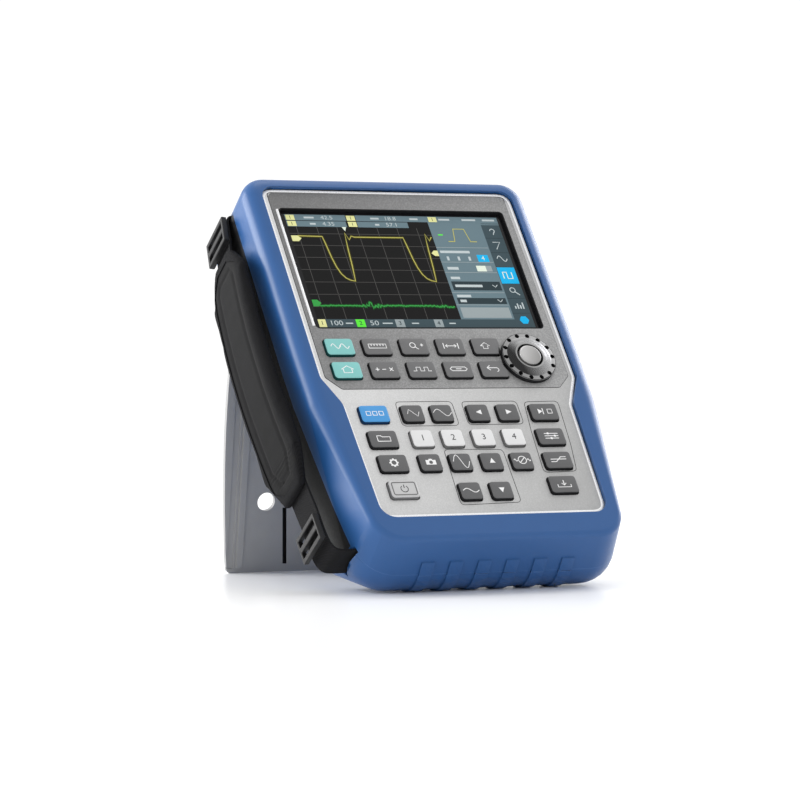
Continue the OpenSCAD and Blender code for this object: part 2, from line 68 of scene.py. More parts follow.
# Camera and light
studio = {
    "aim": (-0.0517, -0.0904, 0.1165),   # point the camera looks at, m
    "turn": 26.19,                       # degrees to the left of straight on
    "drop": 1.23,                        # degrees the view points down
    "distance": 1.98,
    "lens": 148.2,
    "sky": 1.06,
    "floorSize": 12,
    "floor": {"Base Color": (0.95, 0.95, 0.95, 1), "Roughness": 0.28, "Specular IOR Level": 0.35},
    "lampTarget": (0, 0, 0.12),
    # name, position, width, height, watts, colour
    "lamps": [
        ("left_softbox", (-1.35, 0.90, 0.62), 1.3, 1.1, 32, (1, 1, 1)),
        ("right_softbox", (1.50, 0.60, 0.80), 1.0, 1.1, 16, (0.95, 0.96, 1.0)),
        ("top_softbox", (0.35, 0.5, 1.9), 1.0, 0.8, 5, (1, 1, 1)),
    ],
}


def newMaterial(name, values):
    material = bpy.data.materials.new(name)
    material.use_nodes = True
    shader = material.node_tree.nodes["Principled BSDF"]
    for socket, value in values.items():
        shader.inputs[socket].default_value = value
    return material, material.node_tree, shader


def setStudio():
    turn, drop = math.radians(studio["turn"]), math.radians(studio["drop"])
    forward = Vector((math.sin(turn) * math.cos(drop), math.cos(turn) * math.cos(drop), -math.sin(drop)))
    camera = bpy.data.objects.new("camera", bpy.data.cameras.new("camera"))
    camera.data.lens = studio["lens"]
    camera.data.sensor_width = 36
    camera.data.clip_end = 50
    camera.location = Vector(studio["aim"]) - forward * studio["distance"]
    camera.rotation_euler = forward.to_track_quat("-Z", "Y").to_euler()
    scene.collection.objects.link(camera)
    scene.camera = camera
    scene.view_settings.view_transform = "Standard"

    world = bpy.data.worlds.new("studio")
    scene.world = world
    world.use_nodes = True
    sky = world.node_tree.nodes["Background"]
    sky.inputs["Color"].default_value = (1, 1, 1, 1)
    sky.inputs["Strength"].default_value = studio["sky"]

    for name, spot, width, height, watts, colour in studio["lamps"]:
        lamp = bpy.data.lights.new(name, "AREA")
        lamp.shape = "RECTANGLE"
        lamp.size, lamp.size_y = width, height
        lamp.energy = watts
        lamp.color = colour
        holder = bpy.data.objects.new(name, lamp)
        holder.location = spot
        aim = Vector(studio["lampTarget"]) - Vector(spot)
        holder.rotation_euler = aim.to_track_quat("-Z", "Y").to_euler()
        scene.collection.objects.link(holder)

    bm = bmesh.new()
    bmesh.ops.create_grid(bm, x_segments=2, y_segments=2, size=studio["floorSize"])
    mesh = bpy.data.meshes.new("floor")
    bm.to_mesh(mesh)
    bm.free()
    floor = bpy.data.objects.new("floor", mesh)
    scene.collection.objects.link(floor)
    mesh.materials.append(newMaterial("floor", studio["floor"])[0])


setStudio()
print("studio ready")


# Material helpers: an input takes a value or another node's output
def plug(tree, socket, value):
    if hasattr(value, "is_linked"):
        tree.links.new(value, socket)
    else:
        socket.default_value = value


def addNode(tree, kind, inputs=None, **settings):
    node = tree.nodes.new(kind)
    for key, value in settings.items():
        setattr(node, key, value)
    for key, value in (inputs or {}).items():
        plug(tree, node.inputs[key], value)
    return node


def caseCoordinates(tree):
    coords = addNode(tree, "ShaderNodeTexCoord")
    place = addNode(tree, "ShaderNodeMapping", {
        "Vector": coords.outputs["Object"],
        "Location": worldToCase.to_translation(),
        "Rotation": caseTurn.inverted().to_euler(),
        "Scale": (1000, 1000, 1000),
    })
    return place.outputs["Vector"]


def mixColours(tree, factor, first, second):
    return addNode(tree, "ShaderNodeMix", {0: factor, 6: first, 7: second}, data_type="RGBA").outputs[2]


def remap(tree, value, low, high, toLow, toHigh):
    return addNode(tree, "ShaderNodeMapRange", {"Value": value, "From Min": low, "From Max": high,
                                                "To Min": toLow, "To Max": toHigh}).outputs["Result"]


def math2(tree, operation, first, second):
    return addNode(tree, "ShaderNodeMath", {0: first, 1: second}, operation=operation).outputs["Value"]


def addBump(tree, shader, height, strength, distance):
    bump = addNode(tree, "ShaderNodeBump", {"Height": height, "Strength": strength, "Distance": distance})
    tree.links.new(bump.outputs["Normal"], shader.inputs["Normal"])


def shade(colour, factor):
    return tuple(min(1.0, part * factor) for part in colour[:3]) + (1,)


# One finish: body colour with soft mottling, fine grain, worn edges
def makeFinish(name, look):
    colour = look["colour"]
    material, tree, shader = newMaterial(name, {"Metallic": look.get("metallic", 0.0),
                                                "Specular IOR Level": look.get("specular", 0.5)})
    where = caseCoordinates(tree)

    blotches = addNode(tree, "ShaderNodeTexNoise", {"Vector": where, "Scale": 0.06, "Detail": 3.0, "Roughness": 0.55})
    spread = look.get("blotch", 0.06)
    tint = mixColours(tree, blotches.outputs["Fac"], shade(colour, 1 - spread), shade(colour, 1 + spread))

    grain = addNode(tree, "ShaderNodeTexNoise", {"Vector": where, "Scale": look.get("grain", 1.6), "Detail": 2.0})
    if look.get("speckle"):
        flecks = remap(tree, grain.outputs["Fac"], 0.44, 0.62, 0.0, look["speckle"])
        tint = mixColours(tree, flecks, tint, look.get("speckleColour", shade(colour, 1.7)))

    if look.get("paintedLightRamp"):
        # painted light and shade: the tone brightens and darkens slowly across the piece, standing in for lamp light
        # and reflections; start point, end point, tone there
        start, end, tones = look["paintedLightRamp"]
        run = Vector(end) - Vector(start)
        along = addNode(tree, "ShaderNodeVectorMath", {0: where, 1: run / run.length_squared}, operation="DOT_PRODUCT")
        begin = Vector(start).dot(run) / run.length_squared
        factor = remap(tree, along.outputs["Value"], begin, begin + 1, tones[0], tones[1])
        tint = addNode(tree, "ShaderNodeVectorMath", {0: tint, "Scale": factor}, operation="SCALE").outputs["Vector"]

    if look.get("wear"):
        rounded = addNode(tree, "ShaderNodeBevel", {"Radius": 0.0007}, samples=4)
        facing = addNode(tree, "ShaderNodeNewGeometry")
        match = addNode(tree, "ShaderNodeVectorMath",
                        {0: rounded.outputs["Normal"], 1: facing.outputs["Normal"]}, operation="DOT_PRODUCT")
        edge = remap(tree, match.outputs["Value"], 0.995, 0.86, 0.0, look["wear"])
        edge = math2(tree, "MULTIPLY", edge, blotches.outputs["Fac"])
        tint = mixColours(tree, edge, tint, look.get("wearColour", shade(colour, 1.9)))
    tree.links.new(tint, shader.inputs["Base Color"])

    tree.links.new(remap(tree, grain.outputs["Fac"], 0.3, 0.7,
                         look["roughness"] - 0.05, look["roughness"] + 0.05), shader.inputs["Roughness"])
    addBump(tree, shader, grain.outputs["Fac"], look.get("bump", 0.25), look.get("depth", 0.00006))
    if look.get("glow"):
        shader.inputs["Emission Color"].default_value = tuple(colour[:3]) + (1,)
        shader.inputs["Emission Strength"].default_value = look["glow"]
    return material


# Woven tape: ribs along its own UV, u across and v along, both in mm
def makeWeave(name, colour, rib, depth):
    material, tree, shader = newMaterial(name, {"Roughness": 0.78, "Specular IOR Level": 0.1})
    where = addNode(tree, "ShaderNodeUVMap", uv_map="tape").outputs["UV"]
    warp = addNode(tree, "ShaderNodeTexWave", {"Vector": where, "Scale": 0.5 / rib, "Distortion": 0.6, "Detail": 1.0},
                   wave_type="BANDS", bands_direction="DIAGONAL")
    weft = addNode(tree, "ShaderNodeTexWave", {"Vector": where, "Scale": 0.9 / rib, "Distortion": 0.4, "Detail": 1.0},
                   wave_type="BANDS", bands_direction="Y")
    height = math2(tree, "ADD", warp.outputs["Fac"], weft.outputs["Fac"])
    # painted shade and highlight: the hollows of the weave darker and the raised ribs lighter than the yarn
    tint = mixColours(tree, math2(tree, "MULTIPLY", height, 0.5), shade(colour, 0.45), shade(colour, 1.6))
    tree.links.new(tint, shader.inputs["Base Color"])
    addBump(tree, shader, height, 0.7, depth)
    return material


# Stretch knit over foam: small crossed stitches and long soft shading
def makeKnit(name, colour, pitch):
    material, tree, shader = newMaterial(name, {"Roughness": 0.86, "Specular IOR Level": 0.1,
                                                "Sheen Weight": 0.03, "Sheen Roughness": 0.45})
    where = caseCoordinates(tree)
    stitches = addNode(tree, "ShaderNodeTexVoronoi", {"Vector": where, "Scale": 1.0 / pitch, "Randomness": 0.25})
    lint = addNode(tree, "ShaderNodeTexNoise", {"Vector": where, "Scale": 0.09, "Detail": 6.0, "Roughness": 0.6})
    tint = mixColours(tree, lint.outputs["Fac"], shade(colour, 0.7), shade(colour, 1.35))
    # painted shade: darker between the stitches
    gaps = remap(tree, stitches.outputs["Distance"], 0.0, 0.6, 0.0, 0.35)
    tint = mixColours(tree, gaps, tint, shade(colour, 0.35))
    tree.links.new(tint, shader.inputs["Base Color"])
    addBump(tree, shader, stitches.outputs["Distance"], 0.5, 0.00025)
    return material


greyKey = {"roughness": 0.46, "grain": 1.9, "bump": 0.3, "speckle": 0.2}
paintedKey = {"roughness": 0.42, "grain": 1.9}
keySkirt = {"roughness": 0.6, "grain": 1.9, "specular": 0.15}
looks = {
    "shellBlue": {"colour": (0.017, 0.082, 0.245), "roughness": 0.36, "grain": 1.1, "bump": 0.15, "blotch": 0.05,
                  "specular": 0.4, "wear": 0.4, "wearColour": (0.16, 0.30, 0.62, 1)},
    # painted shade for the case sides behind the strap pad
    "paintedSideShade": {"colour": (0.0075, 0.0078, 0.0085), "roughness": 0.62, "grain": 1.0, "bump": 0.5,
                 "specular": 0.25},
    "seamDark": {"colour": (0.004, 0.016, 0.045), "roughness": 0.6, "grain": 1.1, "specular": 0.2},
    # panel silver: painted light, brighter at the upper left and darker towards the lower right
    "panelSilver": {"colour": (0.52, 0.52, 0.517), "roughness": 0.40, "metallic": 0.55, "grain": 1.8, "bump": 0.2,
                    "speckle": 0.25, "speckleColour": (0.80, 0.80, 0.80, 1), "wear": 0.6,
                    "wearColour": (0.9, 0.9, 0.9, 1), "paintedLightRamp": ((-60, 3, 130), (85, 3, 60), (1.12, 0.72))},
    # display plate: painted shade and light, darker at the upper left and lighter towards the lower right
    "fieldGrey": {"colour": (0.185, 0.185, 0.185), "roughness": 0.50, "metallic": 0.4, "grain": 1.3, "bump": 0.45,
                  "speckle": 0.5, "speckleColour": (0.30, 0.30, 0.30, 1), "wear": 0.4,
                  "paintedLightRamp": ((-80, 3, 270), (80, 3, 135), (0.72, 1.6))},
    # silver beads; on the lip left of the display the near-white is also a painted highlight
    "beadSilverAndHighlight": {"colour": (0.86, 0.86, 0.86), "roughness": 0.30, "metallic": 0.3, "grain": 2.0},
    "glassBlack": {"colour": (0.007, 0.007, 0.008), "roughness": 0.12, "grain": 0.4, "bump": 0.02,
                   "specular": 0.2},
    "frameBlack": {"colour": (0.010, 0.010, 0.011), "roughness": 0.45, "grain": 1.6, "specular": 0.15},
    "inkWhite": {"colour": (0.78, 0.78, 0.78), "roughness": 0.55, "grain": 2.6, "blotch": 0.08},
    "inkBlack": {"colour": (0.03, 0.03, 0.032), "roughness": 0.55, "grain": 2.6, "specular": 0.3},
    "keyGrey": {**greyKey, "colour": (0.086, 0.086, 0.088), "wear": 0.5},
    "keyPale": {**greyKey, "colour": (0.115, 0.115, 0.117), "wear": 0.4},
    "keyTeal": {**paintedKey, "colour": (0.19, 0.50, 0.48), "wear": 0.5, "wearColour": (0.6, 0.85, 0.82, 1)},
    "keyBlue": {**paintedKey, "colour": (0.045, 0.27, 0.60), "wear": 0.5},
    "keyWhite": {**paintedKey, "colour": (0.68, 0.68, 0.68), "wear": 0.3},
    "keySilver": {**paintedKey, "colour": (0.50, 0.50, 0.50), "metallic": 0.4, "wear": 0.6},
    # key side walls: the keys' dark moulding, with painted shade from the gaps round each key; teal and blue are
    # shaded copies of the cap colours
    "skirtDark": {**keySkirt, "colour": (0.012, 0.012, 0.013)},
    "skirtTeal": {**keySkirt, "colour": (0.006, 0.055, 0.055)},
    "skirtBlue": {**keySkirt, "colour": (0.004, 0.03, 0.09)},
    "skirtPale": {**keySkirt, "colour": (0.17, 0.17, 0.17), "specular": 0.2},
    # painted shade inside the stand's grooves
    "grooveShade": {"colour": (0.012, 0.012, 0.012), "roughness": 0.7, "grain": 1.0, "specular": 0.1},
    "standGrey": {"colour": (0.30, 0.30, 0.302), "roughness": 0.52, "grain": 0.9, "bump": 0.5, "depth": 0.0001,
                  "blotch": 0.08, "wear": 0.5},
    "plasticBlack": {"colour": (0.009, 0.009, 0.0095), "roughness": 0.42, "grain": 1.2, "bump": 0.4,
                     "specular": 0.25, "wear": 0.3, "wearColour": (0.10, 0.10, 0.10, 1)},
    "rubberBlack": {"colour": (0.020, 0.020, 0.021), "roughness": 0.72, "grain": 2.4, "bump": 0.5},
    "shroudGrey": {"colour": (0.045, 0.045, 0.048), "roughness": 0.55, "grain": 1.4, "bump": 0.4},
    "nickel": {"colour": (0.66, 0.64, 0.60), "roughness": 0.22, "metallic": 1.0, "grain": 0.7, "bump": 0.1,
               "wear": 0.3},
    "steel": {"colour": (0.55, 0.55, 0.56), "roughness": 0.30, "metallic": 1.0, "grain": 0.8, "bump": 0.2},
    "boardGreen": {"colour": (0.02, 0.16, 0.07), "roughness": 0.35, "grain": 0.5, "speckle": 0.5,
                   "speckleColour": (0.30, 0.26, 0.10, 1)},
    "tinPlate": {"colour": (0.60, 0.60, 0.60), "roughness": 0.35, "metallic": 0.9, "grain": 0.3, "bump": 0.2},
    "encoderGrey": {"colour": (0.40, 0.40, 0.42), "roughness": 0.35, "metallic": 0.9, "grain": 1.0},
    # wheel and push button: painted reflection and shade, the knob and its cone darker on the left and lighter on the
    # right, the button darker at the lower right and lighter at the upper left
    "wheelGrey": {"colour": (0.30, 0.30, 0.30), "roughness": 0.34, "metallic": 0.6, "grain": 1.8, "wear": 0.6,
                  "paintedLightRamp": ((42, 0, 140), (78, 0, 150), (0.7, 1.35))},
    "wheelDark": {"colour": (0.20, 0.20, 0.202), "roughness": 0.28, "metallic": 0.85, "grain": 1.8,
                  "paintedLightRamp": ((50, 0, 142), (69, 0, 149), (0.12, 1.9))},
    "buttonSilver": {"colour": (0.46, 0.455, 0.45), "roughness": 0.33, "metallic": 0.6, "grain": 1.4, "wear": 0.4,
                     "paintedLightRamp": ((66, 0, 141), (53, 0, 150), (0.55, 1.15))},
}
finishes = {name: makeFinish(name, look) for name, look in looks.items()}
finishes["webbing"] = makeWeave("webbing", (0.011, 0.011, 0.012), 1.3, 0.00022)
finishes["bindingTape"] = makeWeave("bindingTape", (0.008, 0.008, 0.009), 1.0, 0.00018)
finishes["padKnit"] = makeKnit("padKnit", (0.011, 0.011, 0.0115), 0.9)
print("finishes ready:", len(finishes))


# Piece helpers
def makePiece(name, bm, body, materials, replaced=(), sharp=38, place=caseToWorld):
    mesh = bpy.data.meshes.new(name)
    bm.to_mesh(mesh)
    bm.free()
    mesh.transform(place)
    for material in materials:
        mesh.materials.append(finishes[material])
    mesh.polygons.foreach_set("use_smooth", [True] * len(mesh.polygons))
    mesh.set_sharp_from_angle(angle=math.radians(sharp))
    piece = bpy.data.objects.new(name, mesh)
    scene.collection.objects.link(piece)
    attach(piece, body)
    if replaced:
        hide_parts(*replaced)
    return piece


def softenEdges(piece, width, segments=2, angle=35):
    bevel = piece.modifiers.new("soft edges", "BEVEL")
    bevel.width = width / 1000
    bevel.segments = segments
    bevel.limit_method = "ANGLE"
    bevel.angle_limit = math.radians(angle)
    bevel.use_clamp_overlap = True
    bevel.harden_normals = True
    return piece


def nodeMesh(node, place=Matrix.Identity(4), gap=2e-6):
    bm = bmesh.new()
    bm.from_mesh(cadNodes[node].data)
    bmesh.ops.transform(bm, matrix=place, verts=bm.verts)
    bmesh.ops.remove_doubles(bm, verts=bm.verts, dist=gap)
    return bm


def evaluatedMesh(holder):
    bpy.context.view_layer.update()
    return bpy.data.meshes.new_from_object(holder.evaluated_get(bpy.context.evaluated_depsgraph_get()))


def slicePlane(bm, spot, normal):
    whole = list(bm.verts) + list(bm.edges) + list(bm.faces)
    return bmesh.ops.bisect_plane(bm, geom=whole, dist=0.0005, plane_co=spot, plane_no=normal)["geom_cut"]


def extrudeFaces(bm, faces, move):
    made = bmesh.ops.extrude_face_region(bm, geom=faces, use_keep_orig=True)["geom"]
    verts = [item for item in made if isinstance(item, bmesh.types.BMVert)]
    bmesh.ops.translate(bm, vec=move, verts=verts)
    return verts


# One flat face with rounded corners, parallel to the front
def roundedFace(centre, width, height, corner):
    bm = bmesh.new()
    place = Matrix.Translation(centre) @ upright @ Matrix.Diagonal((width, height, 1, 1))
    bmesh.ops.create_grid(bm, x_segments=1, y_segments=1, size=0.5, matrix=place)
    bmesh.ops.bevel(bm, geom=list(bm.verts), offset=corner, offset_type="OFFSET", affect="VERTICES", segments=6,
                    profile=0.5, material=-1)
    return bm


# A moulding that keeps its CAD shape: its triangles joined up and shaded as one skin
def joinNode(node, name, material, angle=30):
    piece = makePiece(name, nodeMesh(node), bodyOf[node], [material], [node], angle,
                      Matrix.Identity(4))
    even = piece.modifiers.new("even shading", "WEIGHTED_NORMAL")
    even.keep_sharp = True
    even.mode = "FACE_AREA_WITH_ANGLE"
    return piece


# A CAD node's own shape, joined up, with its edges eased
def easeNode(node, name, material, width, segments=2, angle=35):
    bm = nodeMesh(node)
    bmesh.ops.dissolve_limit(bm, angle_limit=math.radians(0.6), verts=bm.verts, edges=bm.edges)
    piece = makePiece(name, bm, bodyOf[node], [material], [node], angle, Matrix.Identity(4))
    return softenEdges(piece, width, segments, angle)


def appendMesh(bm, mesh, material):
    mesh.polygons.foreach_set("material_index", [material] * len(mesh.polygons))
    bm.from_mesh(mesh)
    bpy.data.meshes.remove(mesh)


# Flat printed lines that lie on a face of the case
def addStrokes(bm, lines, width, surface, material=0, closed=False, lift=0.05):
    curve = bpy.data.curves.new("stroke", "CURVE")
    curve.dimensions = "3D"
    curve.bevel_depth = width / 2
    curve.bevel_resolution = 1
    curve.use_fill_caps = True
    for line in lines:
        spline = curve.splines.new("POLY")
        spline.points.add(len(line) - 1)
        for point, (x, z) in zip(spline.points, line):
            point.co = (x, 0, z, 1)
        spline.use_cyclic_u = closed
    holder = bpy.data.objects.new("stroke", curve)
    mesh = bpy.data.meshes.new_from_object(holder)
    mesh.transform(Matrix.Translation((0, surface, 0)) @ Matrix.Diagonal((1, 2 * lift / width, 1, 1)))
    appendMesh(bm, mesh, material)
    bpy.data.objects.remove(holder)
    bpy.data.curves.remove(curve)


def addBlock(bm, x0, x1, y0, y1, z0, z1, material=0):
    place = (Matrix.Translation(((x0 + x1) / 2, (y0 + y1) / 2, (z0 + z1) / 2))
             @ Matrix.Diagonal((x1 - x0, y1 - y0, z1 - z0, 1)))
    made = bmesh.ops.create_cube(bm, size=1, matrix=place)
    for face in {face for vert in made["verts"] for face in vert.link_faces}:
        face.material_index = material


def addPlate(bm, outline, surface, material=0, lift=0.05):
    face = bm.faces.new([bm.verts.new((x, surface + lift, z)) for x, z in outline])
    verts = extrudeFaces(bm, [face], (0, -2 * lift, 0))
    plate = {item for vert in list(face.verts) + verts for item in vert.link_faces}
    for item in plate:
        item.material_index = material
    bmesh.ops.recalc_face_normals(bm, faces=list(plate))


def addDigits(bm, text, x, z, height, surface, material=0, lift=0.05, width=1.0):
    curve = bpy.data.curves.new("digits", "FONT")
    curve.body = text
    curve.size = height * 1.4
    curve.align_x, curve.align_y = "CENTER", "CENTER"
    curve.extrude = lift
    curve.resolution_u = 3
    holder = bpy.data.objects.new("digits", curve)
    mesh = bpy.data.meshes.new_from_object(holder)
    mesh.transform(Matrix.Translation((x, surface, z)) @ upright @ Matrix.Diagonal((width, 1, 1, 1)))
    appendMesh(bm, mesh, material)
    bpy.data.objects.remove(holder)
    bpy.data.curves.remove(curve)


def addRod(bm, spot, radius, length, segments):
    bmesh.ops.create_cone(bm, cap_ends=True, segments=segments, radius1=radius, radius2=radius, depth=length,
                          matrix=Matrix.Translation(spot) @ upright)


def cutPiece(bm, cutter):
    holders = []
    for name, source in (("cutBody", bm), ("cutTool", cutter)):
        bmesh.ops.recalc_face_normals(source, faces=source.faces)
        mesh = bpy.data.meshes.new(name)
        source.to_mesh(mesh)
        source.free()
        holder = bpy.data.objects.new(name, mesh)
        scene.collection.objects.link(holder)
        holders.append(holder)
    cut = holders[0].modifiers.new("cut", "BOOLEAN")
    cut.operation = "DIFFERENCE"
    cut.solver = "EXACT"
    cut.object = holders[1]
    result = evaluatedMesh(holders[0])
    out = bmesh.new()
    out.from_mesh(result)
    bpy.data.meshes.remove(result)
    for holder in holders:
        bpy.data.objects.remove(holder)
    bmesh.ops.remove_doubles(out, verts=out.verts, dist=0.001)
    return out


def arc(x, z, radius, start, end, steps=12):
    return [(x + radius * math.cos(math.radians(start + (end - start) * step / steps)),
             z + radius * math.sin(math.radians(start + (end - start) * step / steps)))
            for step in range(steps + 1)]


def sineLine(x0, x1, z, height, cycles=1.0, steps=24):
    return [(x0 + (x1 - x0) * step / steps, z + height * math.sin(2 * math.pi * cycles * step / steps))
            for step in range(steps + 1)]


def roundLoop(points, radius, steps=5):
    out = []
    for index, corner in enumerate(points):
        before, after = Vector(points[index - 1]), Vector(points[(index + 1) % len(points)])
        corner = Vector(corner)
        toBefore, toAfter = (before - corner).normalized(), (after - corner).normalized()
        reach = radius / math.tan(toBefore.angle(toAfter) / 2)
        start, end = corner + toBefore * reach, corner + toAfter * reach
        for step in range(steps + 1):
            blend = step / steps
            out.append(tuple(start * (1 - blend) ** 2 + corner * 2 * blend * (1 - blend) + end * blend ** 2))
    return out


# Shells and panel
joinNode("front_shell", "front_shell_moulding", "shellBlue")
rearShell = joinNode("rear_shell", "rear_shell_moulding", "shellBlue")
easeNode("battery_cover", "battery_door", "shellBlue", 0.5)
easeNode("front_panel", "panel_plate", "panelSilver", 0.3)
easeNode("key_field", "display_plate", "fieldGrey", 0.15)
# where the painted shade lies on the case sides, in mm
sideShadeZone = {"front": 25.6, "back": 63.0, "low": 24.0, "high": 281.0, "reach": 88}
seamLine = {"width": 0.5, "lift": 0.2, "above": 0.12, "middle": 146.5, "insetAcross": 0.9970, "insetUp": 0.9978}


def paintSideShade():
    # painted shade: near-black patches on both sides of the rear shell, level with the strap pad, standing in for the
    # shade between pad and case
    mesh = rearShell.data
    mesh.materials.append(finishes["paintedSideShade"])
    bm = bmesh.new()
    bm.from_mesh(mesh)
    bmesh.ops.transform(bm, matrix=worldToCase, verts=bm.verts)
    for depth in (sideShadeZone["front"], sideShadeZone["back"]):
        slicePlane(bm, (0, depth, 0), (0, 1, 0))
    for height in (sideShadeZone["low"], sideShadeZone["high"]):
        slicePlane(bm, (0, 0, height), (0, 0, 1))
    bm.normal_update()
    for face in bm.faces:
        middle = face.calc_center_median()
        onSide = (abs(face.normal.x) > 0.7 and abs(middle.x) > sideShadeZone["reach"]
                  and face.normal.x * middle.x > 0)
        inside = (sideShadeZone["front"] < middle.y < sideShadeZone["back"]
                  and sideShadeZone["low"] < middle.z < sideShadeZone["high"])
        if onSide and inside:
            face.material_index = 1
    bmesh.ops.transform(bm, matrix=caseToWorld, verts=bm.verts)
    bm.to_mesh(mesh)
    bm.free()
    mesh.set_sharp_from_angle(angle=math.radians(30))


paintSideShade()


def makeSeam():
    # shadow line where the two shells meet
    seam = caseBox("rear_shell")[0].y
    bm = nodeMesh("rear_shell", worldToCase, 0.002)
    cut = slicePlane(bm, (0, seam + seamLine["above"], 0), (0, 1, 0))
    edges = [item for item in cut if isinstance(item, bmesh.types.BMEdge)]
    loops, left = [], set(edges)
    while left:
        edge = left.pop()
        chain = [edge.verts[0], edge.verts[1]]
        while True:
            step = next((item for item in chain[-1].link_edges if item in left), None)
            if step is None:
                break
            left.discard(step)
            chain.append(step.other_vert(chain[-1]))
        loops.append([(vert.co.x, vert.co.z) for vert in chain])
    bm.free()
    outer = max(loops, key=lambda loop: max(x for x, z in loop) - min(x for x, z in loop))
    # inset a little, so that it stays inside the outline of the case
    middle = seamLine["middle"]
    sunk = [(x * seamLine["insetAcross"], middle + (z - middle) * seamLine["insetUp"]) for x, z in outer[:-1]]
    bm = bmesh.new()
    addStrokes(bm, [sunk], seamLine["width"], seam, closed=True, lift=seamLine["lift"])
    makePiece("seam_line", bm, "case", ["seamDark"], sharp=80)


panelFace = caseBox("front_panel")[0].y
fieldFace = caseBox("key_field")[0].y
window = {"half": 80.5, "low": 170.5, "high": 267.0, "corner": 3.0, "wall": 0.7, "sink": 0.25, "depth": 2.6}
panelTrim = {"groove": 0.55, "gap": 0.7, "gapCorner": 8.5, "group": 0.42, "rim": 2.2, "rimCorner": 8, "lip": 1.7}


def makeWindowFrame():
    # black wall round the recessed display
    bm = roundedFace((0, fieldFace + window["sink"], (window["low"] + window["high"]) / 2), 2 * window["half"],
                     window["high"] - window["low"], window["corner"])
    inner = bmesh.ops.inset_region(bm, faces=list(bm.faces), thickness=window["wall"], depth=0, use_boundary=True)
    centre = [face for face in bm.faces if face not in inner["faces"]]
    bmesh.ops.delete(bm, geom=centre, context="FACES")
    extrudeFaces(bm, list(bm.faces), (0, window["depth"], 0))
    bmesh.ops.recalc_face_normals(bm, faces=bm.faces)
    makePiece("display_surround", bm, "case", ["frameBlack"])


def mirrored(points):
    # the same points again on the left, in turn, to close a loop
    return points + [(-x, z) for x, z in reversed(points)]


def makePanelLines():
    bm = bmesh.new()
    # fine groove round the display plate
    edge = roundLoop(mirrored([(76, 124), (85, 133), (85, 279.5)]), 3)
    addStrokes(bm, [edge], panelTrim["groove"], panelFace - 0.06, closed=True, lift=0.1)
    # dark gap between the panel and the shell
    gap = mirrored([(77.8, 27.5), (80.5, 110), (89.7, 131), (89.7, 282.1)])
    addStrokes(bm, [roundLoop(gap, panelTrim["gapCorner"])], panelTrim["gap"], panelFace - 0.02, closed=True,
               lift=0.1)
    # rounded outlines round the key groups
    groups = [
        [(-43.2, 95.6), (-43.2, 114), (-4.1, 114), (-4.1, 95.6)],
        [(2.5, 96), (2.5, 113.7), (41.3, 113.7), (41.3, 96)],
        [(46.6, 113), (70.9, 113.4), (69, 79), (66.6, 59.6), (43.2, 59), (44.6, 91)],
        [(-20.6, 77.7), (20.0, 77), (20.4, 37.4), (-21.4, 36.4)],
    ]
    for group in groups:
        addStrokes(bm, [roundLoop(group, 3.2)], panelTrim["group"], panelFace - 0.02, closed=True, lift=0.06)
    makePiece("panel_lines", bm, "case", ["frameBlack"])


def makePanelBeads():
    # bright raised rim along the panel edge, and the pale lip left of the display, whose near-white colour also paints
    # in the highlight that light from the left puts on it
    bm = bmesh.new()
    rim = mirrored([(76.2, 29.2), (79.0, 110.4), (88.4, 131.6), (88.4, 280.8)])
    addStrokes(bm, [roundLoop(rim, panelTrim["rimCorner"])], panelTrim["rim"], panelFace + 0.15, closed=True,
               lift=0.6)
    lip = [(-81.6, 172.5), (-81.6, 265.5)]
    addStrokes(bm, [lip], panelTrim["lip"], fieldFace, lift=0.6)
    makePiece("panel_beads", bm, "case", ["beadSilverAndHighlight"], sharp=60)


makeWindowFrame()
makeSeam()
makePanelLines()
makePanelBeads()
print("panel trimmed")

# Display: each colour has a strength of glow
screenColours = {
    "slate": ((0.110, 0.165, 0.190), 0.2), "slateDark": ((0.038, 0.062, 0.073), 0.2),
    "slateDeep": ((0.020, 0.034, 0.040), 0.2), "plot": ((0.0035, 0.0035, 0.0035), 0.2),
    "grid": ((0.050, 0.048, 0.046), 0.3), "yellow": ((0.43, 0.40, 0.095), 0.2),
    "yellowGlow": ((0.045, 0.040, 0.004), 0.2), "green": ((0.03, 0.27, 0.05), 0.2),
    "greenGlow": ((0.004, 0.050, 0.008), 0.2), "chipYellow": ((0.62, 0.62, 0.28), 0.2),
    "chipGreen": ((0.09, 0.66, 0.04), 0.2), "cyan": ((0.006, 0.36, 0.66), 0.2), "text": ((0.42, 0.47, 0.48), 0.2),
    "chipGrey": ((0.25, 0.29, 0.30), 0.2), "pale": ((0.62, 0.68, 0.58), 0.2),
}
for name, (colour, glow) in screenColours.items():
    finishes[name] = makeFinish("screen_" + name, {"colour": colour, "roughness": 0.22, "grain": 3.0, "bump": 0.02,
                                                   "blotch": 0.04, "specular": 0.12, "glow": glow})
screenOrder = list(screenColours)

